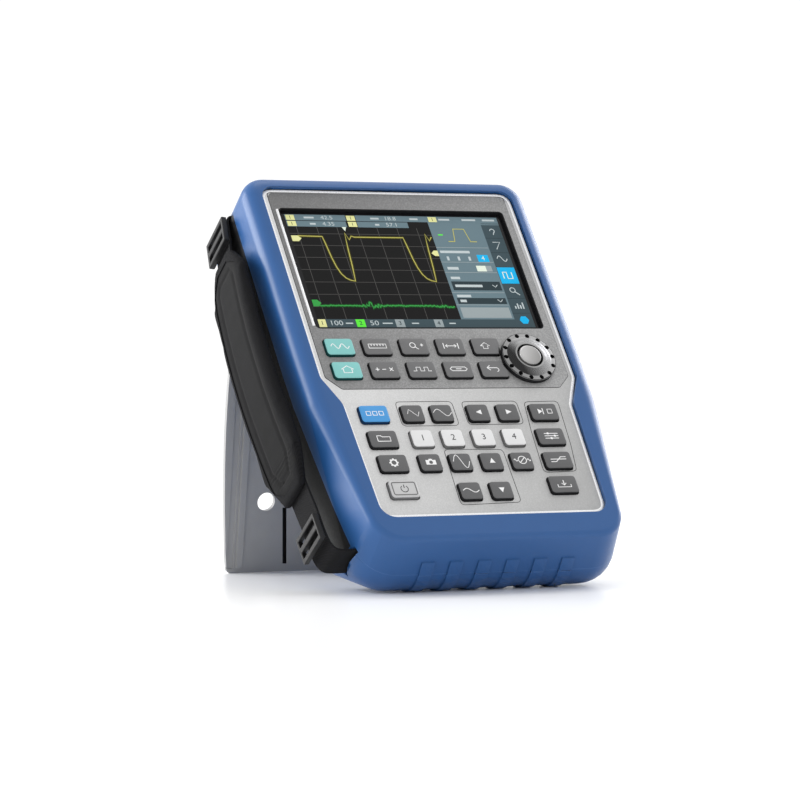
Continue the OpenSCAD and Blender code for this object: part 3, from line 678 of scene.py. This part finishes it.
# left, right, bottom, top, colour, layer
screenFields = [
    (-76.2, 24.5, 180, 263.9, "plot", 1), (24.5, 76.2, 173.6, 263.9, "slate", 1),
    (62.9, 76.2, 173.6, 257.5, "slateDark", 2), (-76.2, 62.9, 173.6, 180, "slateDark", 2),
    (-76.2, -33.6, 259.2, 263.9, "slate", 2), (-76.2, -34.4, 254.1, 258.7, "slate", 2),
    (-26.6, 24.5, 259.2, 263.9, "slate", 2), (-26.6, 9.6, 254.1, 258.7, "slate", 2),
    (24.5, 76.2, 259.2, 263.9, "slate", 2),
]
screenMenu = [
    (29, 32.4, 248.3, 249.3, "chipGreen", 2),
    *[(24.5, 62.4, z - 0.2, z + 0.2, "chipGrey", 2) for z in (238.4, 226.4, 218.0, 201.6, 191.6)],
    (26.2, 47.6, 233.8, 235.8, "text", 2),
    *[(x, x + 1.6, 227.8, 231.0, "text", 2) for x in (29.6, 37.4, 45.2)],
    (51.8, 59.8, 226.8, 232.6, "cyan", 2), (27.4, 35.4, 220.2, 222.4, "text", 2),
    (48.6, 55.4, 219.0, 223.6, "pale", 2), (55.4, 59.6, 219.0, 223.6, "chipGrey", 2),
    (27.4, 34.0, 212.4, 214.4, "text", 2), (26.6, 61.6, 203.4, 210.6, "slateDeep", 2),
    (28.6, 48.2, 206.0, 208.0, "text", 3), (27.4, 37.4, 197.8, 199.8, "text", 2),
    (26.6, 61.6, 192.4, 197.2, "slateDeep", 2), (28.6, 33.0, 193.8, 195.8, "text", 3),
    (26.6, 61.6, 181.2, 189.6, "chipGrey", 2), (63.2, 76.0, 209.0, 222.4, "cyan", 3),
    *[(63.2, 76.0, z - 0.15, z + 0.15, "slateDeep", 3) for z in (258.6, 246.6, 234.6, 222.6, 209.0, 197.0, 185.0)],
    *[(x, x + 1.0, 188.6, 188.6 + height, "text", 4)
      for x, height in ((66.4, 2.2), (68.3, 4.2), (70.2, 3.0), (72.1, 5.0))],
]


def makeDisplay():
    glassLow, glassHigh = caseBox("touch_glass")
    bm = bmesh.new()
    addBlock(bm, glassLow.x, glassHigh.x, glassLow.y, glassHigh.y, glassLow.z, glassHigh.z)
    softenEdges(makePiece("touch_screen", bm, "case", ["glassBlack"], ["touch_glass"]), 0.4)

    bm = bmesh.new()
    face = glassLow.y

    def blocks(rows):
        for x0, x1, z0, z1, colour, layer in rows:
            addBlock(bm, x0, x1, face - 0.03 * layer, face + 0.02, z0, z1, screenOrder.index(colour))

    def line(points, width, colour, layer=4):
        addStrokes(bm, [points], width, face - 0.03 * layer, screenOrder.index(colour), False, 0.02)

    def digits(text, x, z, height, colour="text", rise=0.1, width=1.2):
        addDigits(bm, text, x, z, height, face - rise, screenOrder.index(colour), 0.02, width)

    def marker(outline, colour):
        addPlate(bm, outline, face - 0.15, screenOrder.index(colour), 0.03)

    blocks(screenFields)
    # readings along the top
    for x0, z0 in ((-75.6, 259.4), (-75.6, 254.4), (-33.0, 259.4), (-33.0, 254.4), (25.6, 259.4)):
        blocks([(x0, x0 + 6, z0, z0 + 4.1, "chipYellow", 3)])
        digits("1", x0 + 3, z0 + 2.0, 2.6, "slateDeep", 0.12, 1)
    for text, x, z in (("42.5", -47, 261.5), ("4.35", -47, 256.4), ("18.8", -2, 261.5), ("57.1", -2, 256.4)):
        digits(text, x, z, 3.0)
    blocks((x0, x1, z - 0.7, z + 0.7, "text", 3) for x0, x1, z in (
        (-63, -56, 261.5), (-60, -56, 256.4), (-16, -10, 261.5), (-14, -11, 256.4), (12, 18, 261.5),
        (33, 41, 261.5), (50, 60, 261.5), (65, 74, 261.5)))
    # graticule
    blocks((x - 0.22, x + 0.22, 180, 254, "grid", 2) for x in [-70.3 + 14.2 * step for step in range(7)])
    blocks((-76.2, 24.5, z - 0.2, z + 0.2, "grid", 2) for z in (248.4, 238.8, 229.1, 219.3, 209.4, 199.6, 189.8))
    # two decaying pulses
    pulse = [(-71.4, 246.4), (-55.0, 246.1)]
    fall = [(0, 246.1), (0.8, 240), (1.9, 229), (3.2, 221.5), (5.0, 216), (7.4, 212.6), (10, 211.0), (13.2, 210.2)]
    rise = [(14.4, 222), (15.4, 236), (16.6, 249.2), (18.4, 243.6), (20.6, 246.8), (22.4, 245.9)]
    first = pulse + [(-54.4 + x, z) for x, z in fall + rise] + [(2.4, 245.9)]
    second = [(2.4, 245.9)] + [(2.8 + x, z) for x, z in fall + rise[:5]]
    for width, colour, layer in ((2.4, "yellowGlow", 3), (0.72, "yellow", 4)):
        line(first, width, colour, layer)
        line(second, width, colour, layer)
    # noisy second channel
    trace = []
    for step in range(190):
        x = -71.8 + 0.5 * step
        burst = math.exp(-((x + 35) / 5.5) ** 2) * 2.7 + math.exp(-((x - 17) / 7) ** 2) * 2.1 + 0.45
        trace.append((x, 190.6 + burst * noise.noise(Vector((x * 2.3, 0.4, 0.1))) * 1.5))
    line(trace, 2.8, "greenGlow", 3)
    line(trace, 1.0, "green")
    # markers at the edges of the plot
    marker([(-76.0, 242.0), (-71.6, 242.0), (-69.2, 244.4), (-71.6, 246.6), (-76.0, 246.6)], "chipYellow")
    marker([(-76.0, 190.0), (-72.2, 190.0), (-70.0, 192.6), (-72.2, 195.2), (-76.0, 195.2)], "green")
    marker([(19.6, 233.4), (21.6, 235.6), (24.4, 235.6), (24.4, 231.2), (21.6, 231.2)], "chipYellow")
    marker([(-38.4, 254.0), (-35.4, 254.0), (-36.9, 250.6)], "pale")
    # channel bar
    for x0, x1, colour, text in ((-76.2, -71.0, "chipYellow", "1"), (-50.2, -44.0, "chipGreen", "2"),
                                 (-22.8, -16.6, "chipGrey", "3"), (4.6, 10.6, "chipGrey", "4")):
        blocks([(x0, x1, 173.8, 179.8, colour, 3)])
        digits(text, (x0 + x1) / 2, 176.8, 3.2, "slateDeep", 0.12, 1)
    digits("100", -64.0, 176.8, 3.8)
    digits("50", -37.6, 176.8, 3.8)
    blocks((x0, x1, 176.3, 177.2, "text", 3) for x0, x1 in ((-57.5, -52.5), (-32, -25), (-11.5, -6.5), (15, 19.5)))
    # menu and tool column
    blocks(screenMenu)
    digits("4", 55.8, 229.7, 3.4, "pale", 0.1, 1)
    line([(35.0, 243.4), (39.6, 243.4), (41.2, 253.8), (49.0, 253.8), (51.0, 243.4), (55.6, 243.4)], 0.75,
         "yellow", 3)
    for z in (207.0, 195.0):
        line([(55.6, z + 0.9), (57.4, z - 0.9), (59.2, z + 0.9)], 0.7, "text")
    line(arc(69.6, 252.6, 1.6, 180, -60) + [(69.6, 249.4)], 0.7, "text")
    line([(67.0, 243.2), (72.2, 243.2), (68.4, 237.4)], 0.7, "text")
    line(sineLine(66.0, 73.4, 229.6, 2.2), 0.7, "text")
    line([(66.2, 213.2), (66.2, 218.4), (69.0, 218.4), (69.0, 213.2), (72.6, 213.2), (72.6, 218.4)], 0.8, "pale", 5)
    line(arc(69.0, 203.8, 1.9, 0, 360), 0.7, "text")
    line([(70.4, 202.4), (73.2, 199.8)], 0.9, "text")
    marker(arc(69.8, 179.4, 3.4, 0, 300, 5), "cyan")
    bmesh.ops.recalc_face_normals(bm, faces=bm.faces)
    makePiece("display_picture", bm, "case", screenOrder)


makeDisplay()
print("display drawn")

# Keys
keyShape = {"wide": 19.6, "narrow": 15.0, "height": 13.0, "flange": 0.9, "draft": 0.35, "edge": 0.9, "corner": 2.2,
            "skirtFrom": 0.42, "legend": 0.62, "legendSize": 1.2, "digit": 4.4}
keyCaps = {"key_auto": "keyTeal", "key_preset": "keyTeal", "key_mode": "keyBlue", "key_power": "keySilver"}
keyCaps.update({"key_" + name: "keyWhite" for name in ("one", "two", "three", "four")})
keyCaps.update({"key_" + name: "keyPale"
                for name in ("meas", "zoom", "cursor", "shift", "math", "logic", "bus", "back")})
# the two keys cut round by the wheel, and the key whose row each stands in
wheelKeys = {"key_shift": "key_cursor", "key_back": "key_bus"}
wheelShape = {"notches": 14, "notchRadius": 1.55, "notchReach": 16.5, "notchDepth": 4.4, "face": -0.9,
              "clear": 20.2}
# side walls take a darker finish: partly the keys' own moulding, partly painted shade
keySkirts = {"keyTeal": "skirtTeal", "keyBlue": "skirtBlue", "keyWhite": "skirtPale", "keySilver": "skirtPale"}
square = [(-1, -1), (1, -1), (1, 1), (-1, 1)]
box = square + [(-1, -1)]


def scaled(points, sx, sz, x=0.0, z=0.0):
    return [(x + px * sx, z + pz * sz) for px, pz in points]


# open lines of each legend, centred on its key, in mm
legendLines = {
    "key_auto": [sineLine(-5.2, 5.2, 0, 1.5, 2), arc(0, 0, 0.3, 0, 360, 6)],
    "key_preset": [[(-3.4, 0.2), (0, 2.3), (3.4, 0.2)], [(-2.4, 0.4), (-2.4, -2), (2.4, -2), (2.4, 0.4)]],
    "key_meas": [scaled(box, 5, 1.3)] + [[(x, 1.3), (x, 0.1)] for x in (-3.4, -1.7, 0, 1.7, 3.4)],
    "key_zoom": [arc(-1.0, 0.5, 1.6, 0, 360), [(0.2, -0.7), (2.0, -2.1)], [(3.4, 0.6), (5.2, 0.6)],
                 [(4.3, -0.3), (4.3, 1.5)]],
    "key_cursor": [[(-4.2, -1.8), (-4.2, 1.8)], [(4.2, -1.8), (4.2, 1.8)], [(-3.2, 0), (3.2, 0)],
                   [(-2.0, 0.9), (-3.2, 0), (-2.0, -0.9)], [(2.0, 0.9), (3.2, 0), (2.0, -0.9)]],
    "key_shift": [[(-2.8, 0), (0, 2.1), (2.8, 0), (1.3, 0), (1.3, -1.8), (-1.3, -1.8), (-1.3, 0), (-2.8, 0)]],
    "key_math": [[(-5.4, 0), (-3.2, 0)], [(-4.3, -1.1), (-4.3, 1.1)], [(-1.6, 0), (0.6, 0)],
                 [(2.6, 1.0), (4.6, -1.0)], [(2.6, -1.0), (4.6, 1.0)]],
    "key_logic": [[(-5.2, -1.2), (-3.4, -1.2), (-3.4, 1.2), (-1, 1.2), (-1, -1.2), (1.2, -1.2), (1.2, 1.2),
                   (3.4, 1.2), (3.4, -1.2), (5.2, -1.2)]],
    "key_bus": [[(-5, 0), (-3.8, 1.2), (3.8, 1.2), (5, 0), (3.8, -1.2), (-3.8, -1.2), (-5, 0)],
                [(-1.6, 0), (1.6, 0)]],
    "key_back": [[(-3.4, 0.6), (-1.6, 2.1)], [(-3.4, 0.6), (-1.6, -0.9)],
                 [(-3.4, 0.6), (2.0, 0.6)] + arc(2.0, -0.6, 1.2, 90, -90, 8)],
    "key_mode": [scaled(box, 1.2, 1.2, -3.6), scaled(box, 1.2, 1.2, 0), scaled(box, 1.2, 1.2, 3.6)],
    "key_time_less": [[(-3.4, -0.6), (-2.2, 2.2), (0, 0), (2.2, -2.2), (3.4, 0.6)]],
    "key_time_more": [sineLine(-5.2, 5.2, 0, 2.1)],
    "key_run": [scaled(box, 1.3, 1.3, 3.0), [(-1.0, -1.9), (-1.0, 1.9)]],
    "key_file": [[(-3.6, -1.7), (-3.6, 1.7), (-1.4, 1.7), (-0.6, 1.0), (3.6, 1.0), (3.6, -1.7), (-3.6, -1.7)]],
    "key_setup": [[(-4, 1.5), (4, 1.5)], [(-4, 0), (4, 0)], [(-4, -1.5), (4, -1.5)], arc(-1.8, 1.5, 0.5, 0, 360, 8),
                  arc(2.0, 0, 0.5, 0, 360, 8), arc(-0.4, -1.5, 0.5, 0, 360, 8)],
    "key_range_more": [sineLine(-4.6, 4.6, 0, 4.0)],
    "key_range_less": [sineLine(-4.6, 4.6, 0, 1.2)],
    "key_signal": [arc(0, 0.1, 2.3, 0, 360, 18), [(-1.6, -1.5), (1.6, 1.7)], sineLine(-4.8, -2.9, 0.1, 0.7, 1, 8),
                   sineLine(2.9, 4.8, 0.1, 0.7, 1, 8)],
    "key_level": [[(-4.6, -1.4), (-1.6, -1.4), (1.6, 1.6), (4.6, 1.6)], [(-4.6, 0.2), (4.6, 0.2)]],
    "key_acquire": [[(-3.8, -0.4), (-3.8, -2.0), (3.8, -2.0), (3.8, -0.4)], [(0, 2.2), (0, -0.8)],
                    [(-1.3, 0.4), (0, -0.9), (1.3, 0.4)]],
    "key_power": [arc(0, -0.1, 2.0, 125, 415, 18), [(0, 2.4), (0, 0.3)]],
    "key_gear": [arc(0, 0, 1.75, 0, 360, 20)] + [
        [(reach * math.cos(tooth * math.pi / 4), reach * math.sin(tooth * math.pi / 4)) for reach in (1.9, 2.6)]
        for tooth in range(8)],
}
legendPlates = {
    "key_left": [[(-2.2, 0), (1.6, 1.8), (1.6, -1.8)]],
    "key_right": [[(2.2, 0), (-1.6, -1.8), (-1.6, 1.8)]],
    "key_up": [[(0, 2.1), (-1.9, -1.5), (1.9, -1.5)]],
    "key_down": [[(0, -2.1), (1.9, 1.5), (-1.9, 1.5)]],
    "key_run": [[(-4.6, -1.9), (-1.6, 0), (-4.6, 1.9)]],
    "key_camera": [[(-3.4, -2.0), (3.4, -2.0), (3.4, 1.4), (1.4, 1.4), (0.9, 2.3), (-0.9, 2.3), (-1.4, 1.4),
                    (-3.4, 1.4)]],
}
legendWidths = {"key_gear": 1.1, "key_time_less": 0.45, "key_time_more": 0.45, "key_range_more": 0.5}
legendDigits = {"key_one": "1", "key_two": "2", "key_three": "3", "key_four": "4"}


def makeKey(node):
    low, high = caseBox(node)
    flange, height, draft = keyShape["flange"], keyShape["height"], keyShape["draft"]
    byWheel = node in wheelKeys
    width = keyShape["wide"] if byWheel or high.x - low.x > 17.5 else keyShape["narrow"]
    rowLow = caseBox(wheelKeys[node])[0].z if byWheel else low.z
    centreX, centreZ = low.x + flange + width / 2, rowLow + flange + height / 2
    top, base = low.y, high.y
    bm = roundedFace((centreX, base, centreZ), width, height, keyShape["corner"])
    raised = extrudeFaces(bm, list(bm.faces), (0, top - base, 0))
    bmesh.ops.scale(bm, vec=(1 - 2 * draft / width, 1, 1 - 2 * draft / height),
                    space=Matrix.Translation(-Vector((centreX, top, centreZ))), verts=raised)
    if byWheel:
        cutter = bmesh.new()
        addRod(cutter, wheelSpot, wheelShape["clear"], 20, 96)
        bm = cutPiece(bm, cutter)
    rim = [edge for edge in bm.edges if all(abs(vert.co.y - top) < 0.01 for vert in edge.verts)]
    bmesh.ops.bevel(bm, geom=rim, offset=keyShape["edge"], offset_type="OFFSET", affect="EDGES", segments=4,
                    profile=0.5, clamp_overlap=True, material=-1)
    # top faces take the cap colour, side walls the darker skirt: dark moulding with painted shade
    for face in bm.faces:
        face.material_index = 0 if face.calc_center_median().y < top + keyShape["skirtFrom"] else 1
    bmesh.ops.recalc_face_normals(bm, faces=bm.faces)

    cap = keyCaps.get(node, "keyGrey")
    ink = "inkBlack" if cap in ("keyWhite", "keySilver") else "inkWhite"
    x, z = centreX - (flange if byWheel else 0), centreZ
    size = keyShape["legendSize"]
    lines = [scaled(line, size, size, x, z) for line in legendLines.get(node, [])]
    if lines:
        addStrokes(bm, lines, legendWidths.get(node, keyShape["legend"]), top - 0.01, 2, False, 0.04)
    for outline in legendPlates.get(node, []):
        addPlate(bm, scaled(outline, 1, 1, x, z), top - 0.01, 2, 0.04)
    if node == "key_camera":
        addPlate(bm, arc(x, z - 0.3, 1.25, 0, 342, 18), top - 0.05, 0, 0.03)
    if node in legendDigits:
        addDigits(bm, legendDigits[node], x, z, keyShape["digit"], top - 0.01, 2, 0.04)
    if node == "key_power":
        ring = roundLoop(scaled(square, width / 2 - 2.0, height / 2 - 2.0, centreX, centreZ), 1.4)
        addStrokes(bm, [ring], 0.9, top - 0.02, 3, True, 0.22)
    materials = [cap, keySkirts.get(cap, "skirtDark"), ink, "skirtPale"]
    makePiece(node + "_cap", bm, bodyOf[node], materials, [node], 50)


for keyNode in sorted(node for node in cadNodes if node.startswith("key_") and node != "key_field"):
    makeKey(keyNode)
print("keys made")


# Wheel
def spinProfile(profile, x, z, steps=96):
    bm = bmesh.new()
    verts = [bm.verts.new((radius, y, 0)) for radius, y in profile]
    edges = [bm.edges.new(pair) for pair in zip(verts, verts[1:])]
    bmesh.ops.spin(bm, geom=verts + edges, cent=(0, 0, 0), axis=(0, 1, 0), angle=2 * math.pi, steps=steps,
                   use_merge=True)
    bmesh.ops.remove_doubles(bm, verts=bm.verts, dist=0.002)
    bmesh.ops.translate(bm, vec=(x, 0, z), verts=bm.verts)
    bmesh.ops.recalc_face_normals(bm, faces=bm.faces)
    return bm


def makeWheel():
    low, high = caseBox("wheel_knob")
    x, z = (low.x + high.x) / 2, (low.z + high.z) / 2
    radius, crest = (high.x - low.x) / 2, low.y
    face = wheelShape["face"]
    profile = [(4.9, 0.9), (8.6, 0.9), (8.6, crest + 0.5), (8.9, crest + 0.15), (9.4, crest), (10.0, crest + 0.1),
               (11.6, crest + 0.62), (13.2, crest + 1.05), (14.6, crest + 1.35), (15.2, crest + 1.6), (15.6, face),
               (radius - 0.5, face), (radius - 0.12, -0.76), (radius, -0.4), (radius, 2.6), (4.9, 2.6), (4.9, 0.9)]
    bm = spinProfile(profile, x, z, 112)
    cutter = bmesh.new()
    reach = wheelShape["notchReach"]
    for count in range(wheelShape["notches"]):
        angle = math.radians(count * 360 / wheelShape["notches"])
        spot = (x + reach * math.cos(angle), face, z + reach * math.sin(angle))
        addRod(cutter, spot, wheelShape["notchRadius"], wheelShape["notchDepth"], 16)
    bm = cutPiece(bm, cutter)
    # painted shade: the notches, the well round the button and the knob's outer side take the dark skirt finish; the
    # cone takes the painted reflection ramp
    for part in bm.faces:
        middle = part.calc_center_median()
        reach = math.hypot(middle.x - x, middle.z - z)
        inNotch = middle.y > face + 0.02 and 14.6 < reach < radius - 0.1
        outer = reach > radius - 0.2 and middle.y > -0.3
        cone = 9.9 < reach < 15.3 and middle.y < -0.5
        well = reach < 8.75
        part.material_index = 1 if inNotch or outer or well else (2 if cone else 0)
    makePiece("wheel_knob_dial", bm, "wheel_knob", ["wheelGrey", "skirtDark", "wheelDark"],
              ["wheel_knob"], 32)


def makeWheelButton():
    top = caseBox("wheel_button")[0].y
    profile = [(0, top + 0.35), (2.0, top + 0.33), (4.0, top + 0.22), (5.4, top + 0.06), (6.3, top), (6.9, top + 0.1),
               (7.3, top + 0.45), (7.4, top + 0.9), (7.4, -0.9), (3.0, -0.9), (3.0, 5.6), (0, 5.6)]
    bm = spinProfile(profile, wheelSpot[0], wheelSpot[2], 72)
    makePiece("wheel_push_button", bm, "wheel_button", ["buttonSilver"], ["wheel_button"], 40)


makeWheel()
makeWheelButton()
print("wheel made")

# Stand: painted shade in the long blind grooves, depth measured from the hinge line
standGroove = {"middle": 51.5, "reach": 4, "from": 2.6, "to": 5.2}


def makeStand():
    mesh = easeNode("stand", "stand_plate", "standGrey", 0.4, 2, 30).data
    mesh.materials.append(finishes["grooveShade"])
    hinge = Vector(joints["stand_fold"]["pos_m"])
    normal = max(mesh.polygons, key=lambda face: face.area).normal.copy()
    if normal.y > 0:
        normal = -normal
    for face in mesh.polygons:
        depth = -(face.center - hinge).dot(normal) * 1000
        x = abs((worldToCase @ face.center).x)
        across = abs(x - standGroove["middle"]) < standGroove["reach"]
        if across and standGroove["from"] < depth < standGroove["to"]:
            face.material_index = 1


makeStand()
print("stand made")

# Strap: lengths in mm, middle, half, low and high give the pad's outline seen from the side
strap = {"voxel": 2.4, "pressure": 4.0, "frames": 20, "cap": 1.6, "startThickness": 0.62, "startWidth": 0.965,
         "middle": 37.0, "half": 27.0, "low": 68.0, "high": 250.0, "endHalf": 9.5, "cornerSlope": (0.62, 0.785),
         "bindingWidth": 7.5, "bindingThickness": 0.55, "channel": 14.0, "channelDepth": 0.9, "wrinkle": 0.35}


def strapLine(z):
    # middle of the bowed pad, across the case
    return -(107.6 + 6.2 * math.sin(math.pi * min(1, max(0, (z - 62) / 196))))


def makePad():
    bm = nodeMesh("strap_pad", worldToCase, 0.002)
    # thinner and a little narrower to start with, because the pad swells
    for vert in bm.verts:
        line = strapLine(vert.co.z)
        vert.co.x = line + (vert.co.x - line) * strap["startThickness"]
        vert.co.y = strap["middle"] + (vert.co.y - strap["middle"]) * strap["startWidth"]
    mesh = bpy.data.meshes.new("padStart")
    bm.to_mesh(mesh)
    bm.free()
    pad = bpy.data.objects.new("padStart", mesh)
    scene.collection.objects.link(pad)
    remesh = pad.modifiers.new("remesh", "REMESH")
    remesh.mode = "VOXEL"
    remesh.voxel_size = strap["voxel"]
    start = evaluatedMesh(pad)
    bpy.data.objects.remove(pad)
    # the cloth works in metres
    start.transform(Matrix.Scale(0.001, 4))
    rest = [vert.co.copy() for vert in start.vertices]
    swollen = bpy.data.objects.new("padSwollen", start)
    scene.collection.objects.link(swollen)
    cloth = swollen.modifiers.new("cloth", "CLOTH")
    cloth.settings.use_pressure = True
    cloth.settings.uniform_pressure_force = strap["pressure"]
    cloth.settings.effector_weights.gravity = 0
    cloth.settings.quality = 6
    cloth.settings.mass = 0.3
    cloth.collision_settings.use_collision = False
    cloth.point_cache.frame_start, cloth.point_cache.frame_end = 1, strap["frames"]
    scene.frame_start, scene.frame_end = 1, strap["frames"]
    for step in range(1, strap["frames"] + 1):
        scene.frame_set(step)
    dressed = evaluatedMesh(swollen)
    scene.frame_set(1)
    limit = strap["cap"] / 1000
    for vert, origin in zip(dressed.vertices, rest):
        move = vert.co - origin
        if move.length > limit:
            vert.co = origin + move.normalized() * limit
    bpy.data.objects.remove(swollen)
    bm = bmesh.new()
    bm.from_mesh(dressed)
    bpy.data.meshes.remove(dressed)
    bmesh.ops.transform(bm, matrix=Matrix.Scale(1000, 4), verts=bm.verts)
    for count in range(3):
        bmesh.ops.smooth_vert(bm, verts=bm.verts, factor=0.5, use_axis_x=True, use_axis_y=True, use_axis_z=True)
    bmesh.ops.subdivide_edges(bm, edges=list(bm.edges), cuts=1, use_grid_fill=True, smooth=0.6)
    return bm


def outerDepth(y, z):
    # how far inside the pad outline a point lies, as seen from the side
    across, up, down = abs(y - strap["middle"]), z - strap["low"], strap["high"] - z
    taper = min(up * 0.53, down * 0.72) + 13.2 - across
    return min(up, down, strap["half"] - across, taper)


def dressPad():
    bm = makePad()
    for vert in bm.verts:
        line = strapLine(vert.co.z)
        depth = outerDepth(vert.co.y, vert.co.z)
        outward = vert.co.x < line
        # stitched channel inside the binding
        push = -strap["channelDepth"] * math.exp(-((depth - strap["channel"]) / 1.3) ** 2)
        # the knit gathers near the lower end
        if outward and depth > 6:
            near = math.exp(-((vert.co.z - 84) / 9.0) ** 2)
            push += strap["wrinkle"] * near * math.sin(vert.co.z * 2.3 + 0.5 * math.sin(vert.co.y * 0.4))
        vert.co.x += push * (-1 if outward else 0.4)
    ring = bm.copy()
    pad = makePiece("strap_padding", bm, "case", ["padKnit"], ["strap_pad"], 70)

    # binding tape folded over the edge
    width, middle, endHalf = strap["bindingWidth"], strap["middle"], strap["endHalf"]
    along, up = strap["cornerSlope"]
    inner, low, high = strap["half"] - width, strap["low"] + width, strap["high"] - width
    for side in (-1, 1):
        slicePlane(ring, (0, middle + side * inner, 0), (0, side, 0))
        slicePlane(ring, (0, middle + side * endHalf, low), (0, side * along, -up))
        slicePlane(ring, (0, middle + side * endHalf, high), (0, side * along, up))
    slicePlane(ring, (0, 0, low - 1), (0, 0, -1))
    slicePlane(ring, (0, 0, high + 1), (0, 0, 1))

    def insideBinding(point):
        y, z = abs(point.y - middle), point.z
        return (y < inner and low - 1 < z < high + 1 and (y - endHalf) * along < (z - low) * up
                and (y - endHalf) * along < (high - z) * up)

    gone = [face for face in ring.faces if insideBinding(face.calc_center_median())]
    bmesh.ops.delete(ring, geom=gone, context="FACES")
    ring.normal_update()
    for vert, normal in [(vert, vert.normal.copy()) for vert in ring.verts]:
        vert.co += normal * 0.25
    layer = ring.loops.layers.uv.new("tape")
    for face in ring.faces:
        for loop in face.loops:
            loop[layer].uv = (loop.vert.co.y, loop.vert.co.z)
    bmesh.ops.solidify(ring, geom=list(ring.faces), thickness=-strap["bindingThickness"])
    makePiece("strap_binding", ring, "case", ["bindingTape"], (), 60)


dressPad()
print("strap padding made")


def makeTape(name, node, path):
    low, high = caseBox(node)
    count = webbing["strands"]
    bm = bmesh.new()
    layer = bm.loops.layers.uv.new("tape")
    verts = [bm.verts.new((path[0][0], low.y + (high.y - low.y) * step / count, path[0][1]))
             for step in range(count + 1)]
    edges = [bm.edges.new(pair) for pair in zip(verts, verts[1:])]
    for before, after in zip(path, path[1:]):
        made = bmesh.ops.extrude_edge_only(bm, edges=edges)["geom"]
        moved = [item for item in made if isinstance(item, bmesh.types.BMVert)]
        edges = [item for item in made if isinstance(item, bmesh.types.BMEdge)
                 and all(vert in moved for vert in item.verts)]
        bmesh.ops.translate(bm, vec=(after[0] - before[0], 0, after[1] - before[1]), verts=moved)
    run, total = {}, 0.0
    for index, point in enumerate(path):
        if index:
            total += (Vector(point) - Vector(path[index - 1])).length
        run[(round(point[0], 3), round(point[1], 3))] = total
    for face in bm.faces:
        for loop in face.loops:
            spot = loop.vert.co
            key = min(run, key=lambda item: (item[0] - spot.x) ** 2 + (item[1] - spot.z) ** 2)
            loop[layer].uv = (spot.y, run[key])
    bmesh.ops.recalc_face_normals(bm, faces=bm.faces)
    bmesh.ops.solidify(bm, geom=list(bm.faces), thickness=webbing["thickness"])
    softenEdges(makePiece(name, bm, "case", ["webbing"], [node], 50), 0.35, 2, 50)


def smoothPath(points, steps=6):
    out = []
    ends = [points[0]] + list(points) + [points[-1]]
    for index in range(1, len(ends) - 2):
        p0, p1, p2, p3 = (Vector(ends[index + shift]) for shift in (-1, 0, 1, 2))
        for step in range(steps):
            t = step / steps
            out.append(tuple(0.5 * ((2 * p1) + (p2 - p0) * t + (2 * p0 - 5 * p1 + 4 * p2 - p3) * t * t
                                    + (3 * p1 - p0 - 3 * p2 + p3) * t ** 3)))
    out.append(tuple(points[-1]))
    return out


webbing = {
    "thickness": 1.5, "strands": 12,
    "web_upper": [(-108.6, 245), (-108, 250.8), (-105.6, 262), (-104.2, 272), (-103.2, 278.5), (-101.2, 282),
                  (-97, 283), (-92, 283)],
    "web_lower": [(-109.0, 76), (-108.4, 67.2), (-106.8, 50), (-106.2, 36), (-104.9, 26), (-101.5, 20.8),
                  (-96, 19.6), (-86, 19.6)],
}
makeTape("upper_webbing", "web_upper", smoothPath(webbing["web_upper"]))
makeTape("lower_webbing", "web_lower", smoothPath(webbing["web_lower"]))
for node, name in (("buckle_upper", "upper_buckle"), ("buckle_lower", "lower_buckle")):
    easeNode(node, name, "plasticBlack", 0.7, 3)
print("webbing made")

# Connectors and inner parts keep their CAD shape
for node, name, material, edge in (
        ("bnc_inputs", "input_jacks", "nickel", 0.2), ("bnc_shrouds", "input_collars", "shroudGrey", 0.35),
        ("port_cover", "port_door", "rubberBlack", 0.35), ("port_block", "port_sockets", "shroudGrey", 0.25),
        ("case_screws", "screws", "steel", 0.15), ("fan_frame", "fan_housing", "plasticBlack", 0.25),
        ("fan_rotor", "fan_blades", "plasticBlack", 0.2)):
    easeNode(node, name, material, edge)
innerFinishes = {"lcd_module": "tinPlate", "keypad_mat": "rubberBlack", "main_board": "boardGreen",
                 "shield_can": "tinPlate", "battery_pack": "plasticBlack", "stand_pins": "steel",
                 "encoder": "encoderGrey"}
for node, material in innerFinishes.items():
    cadNodes[node].data.materials.clear()
    cadNodes[node].data.materials.append(finishes[material])
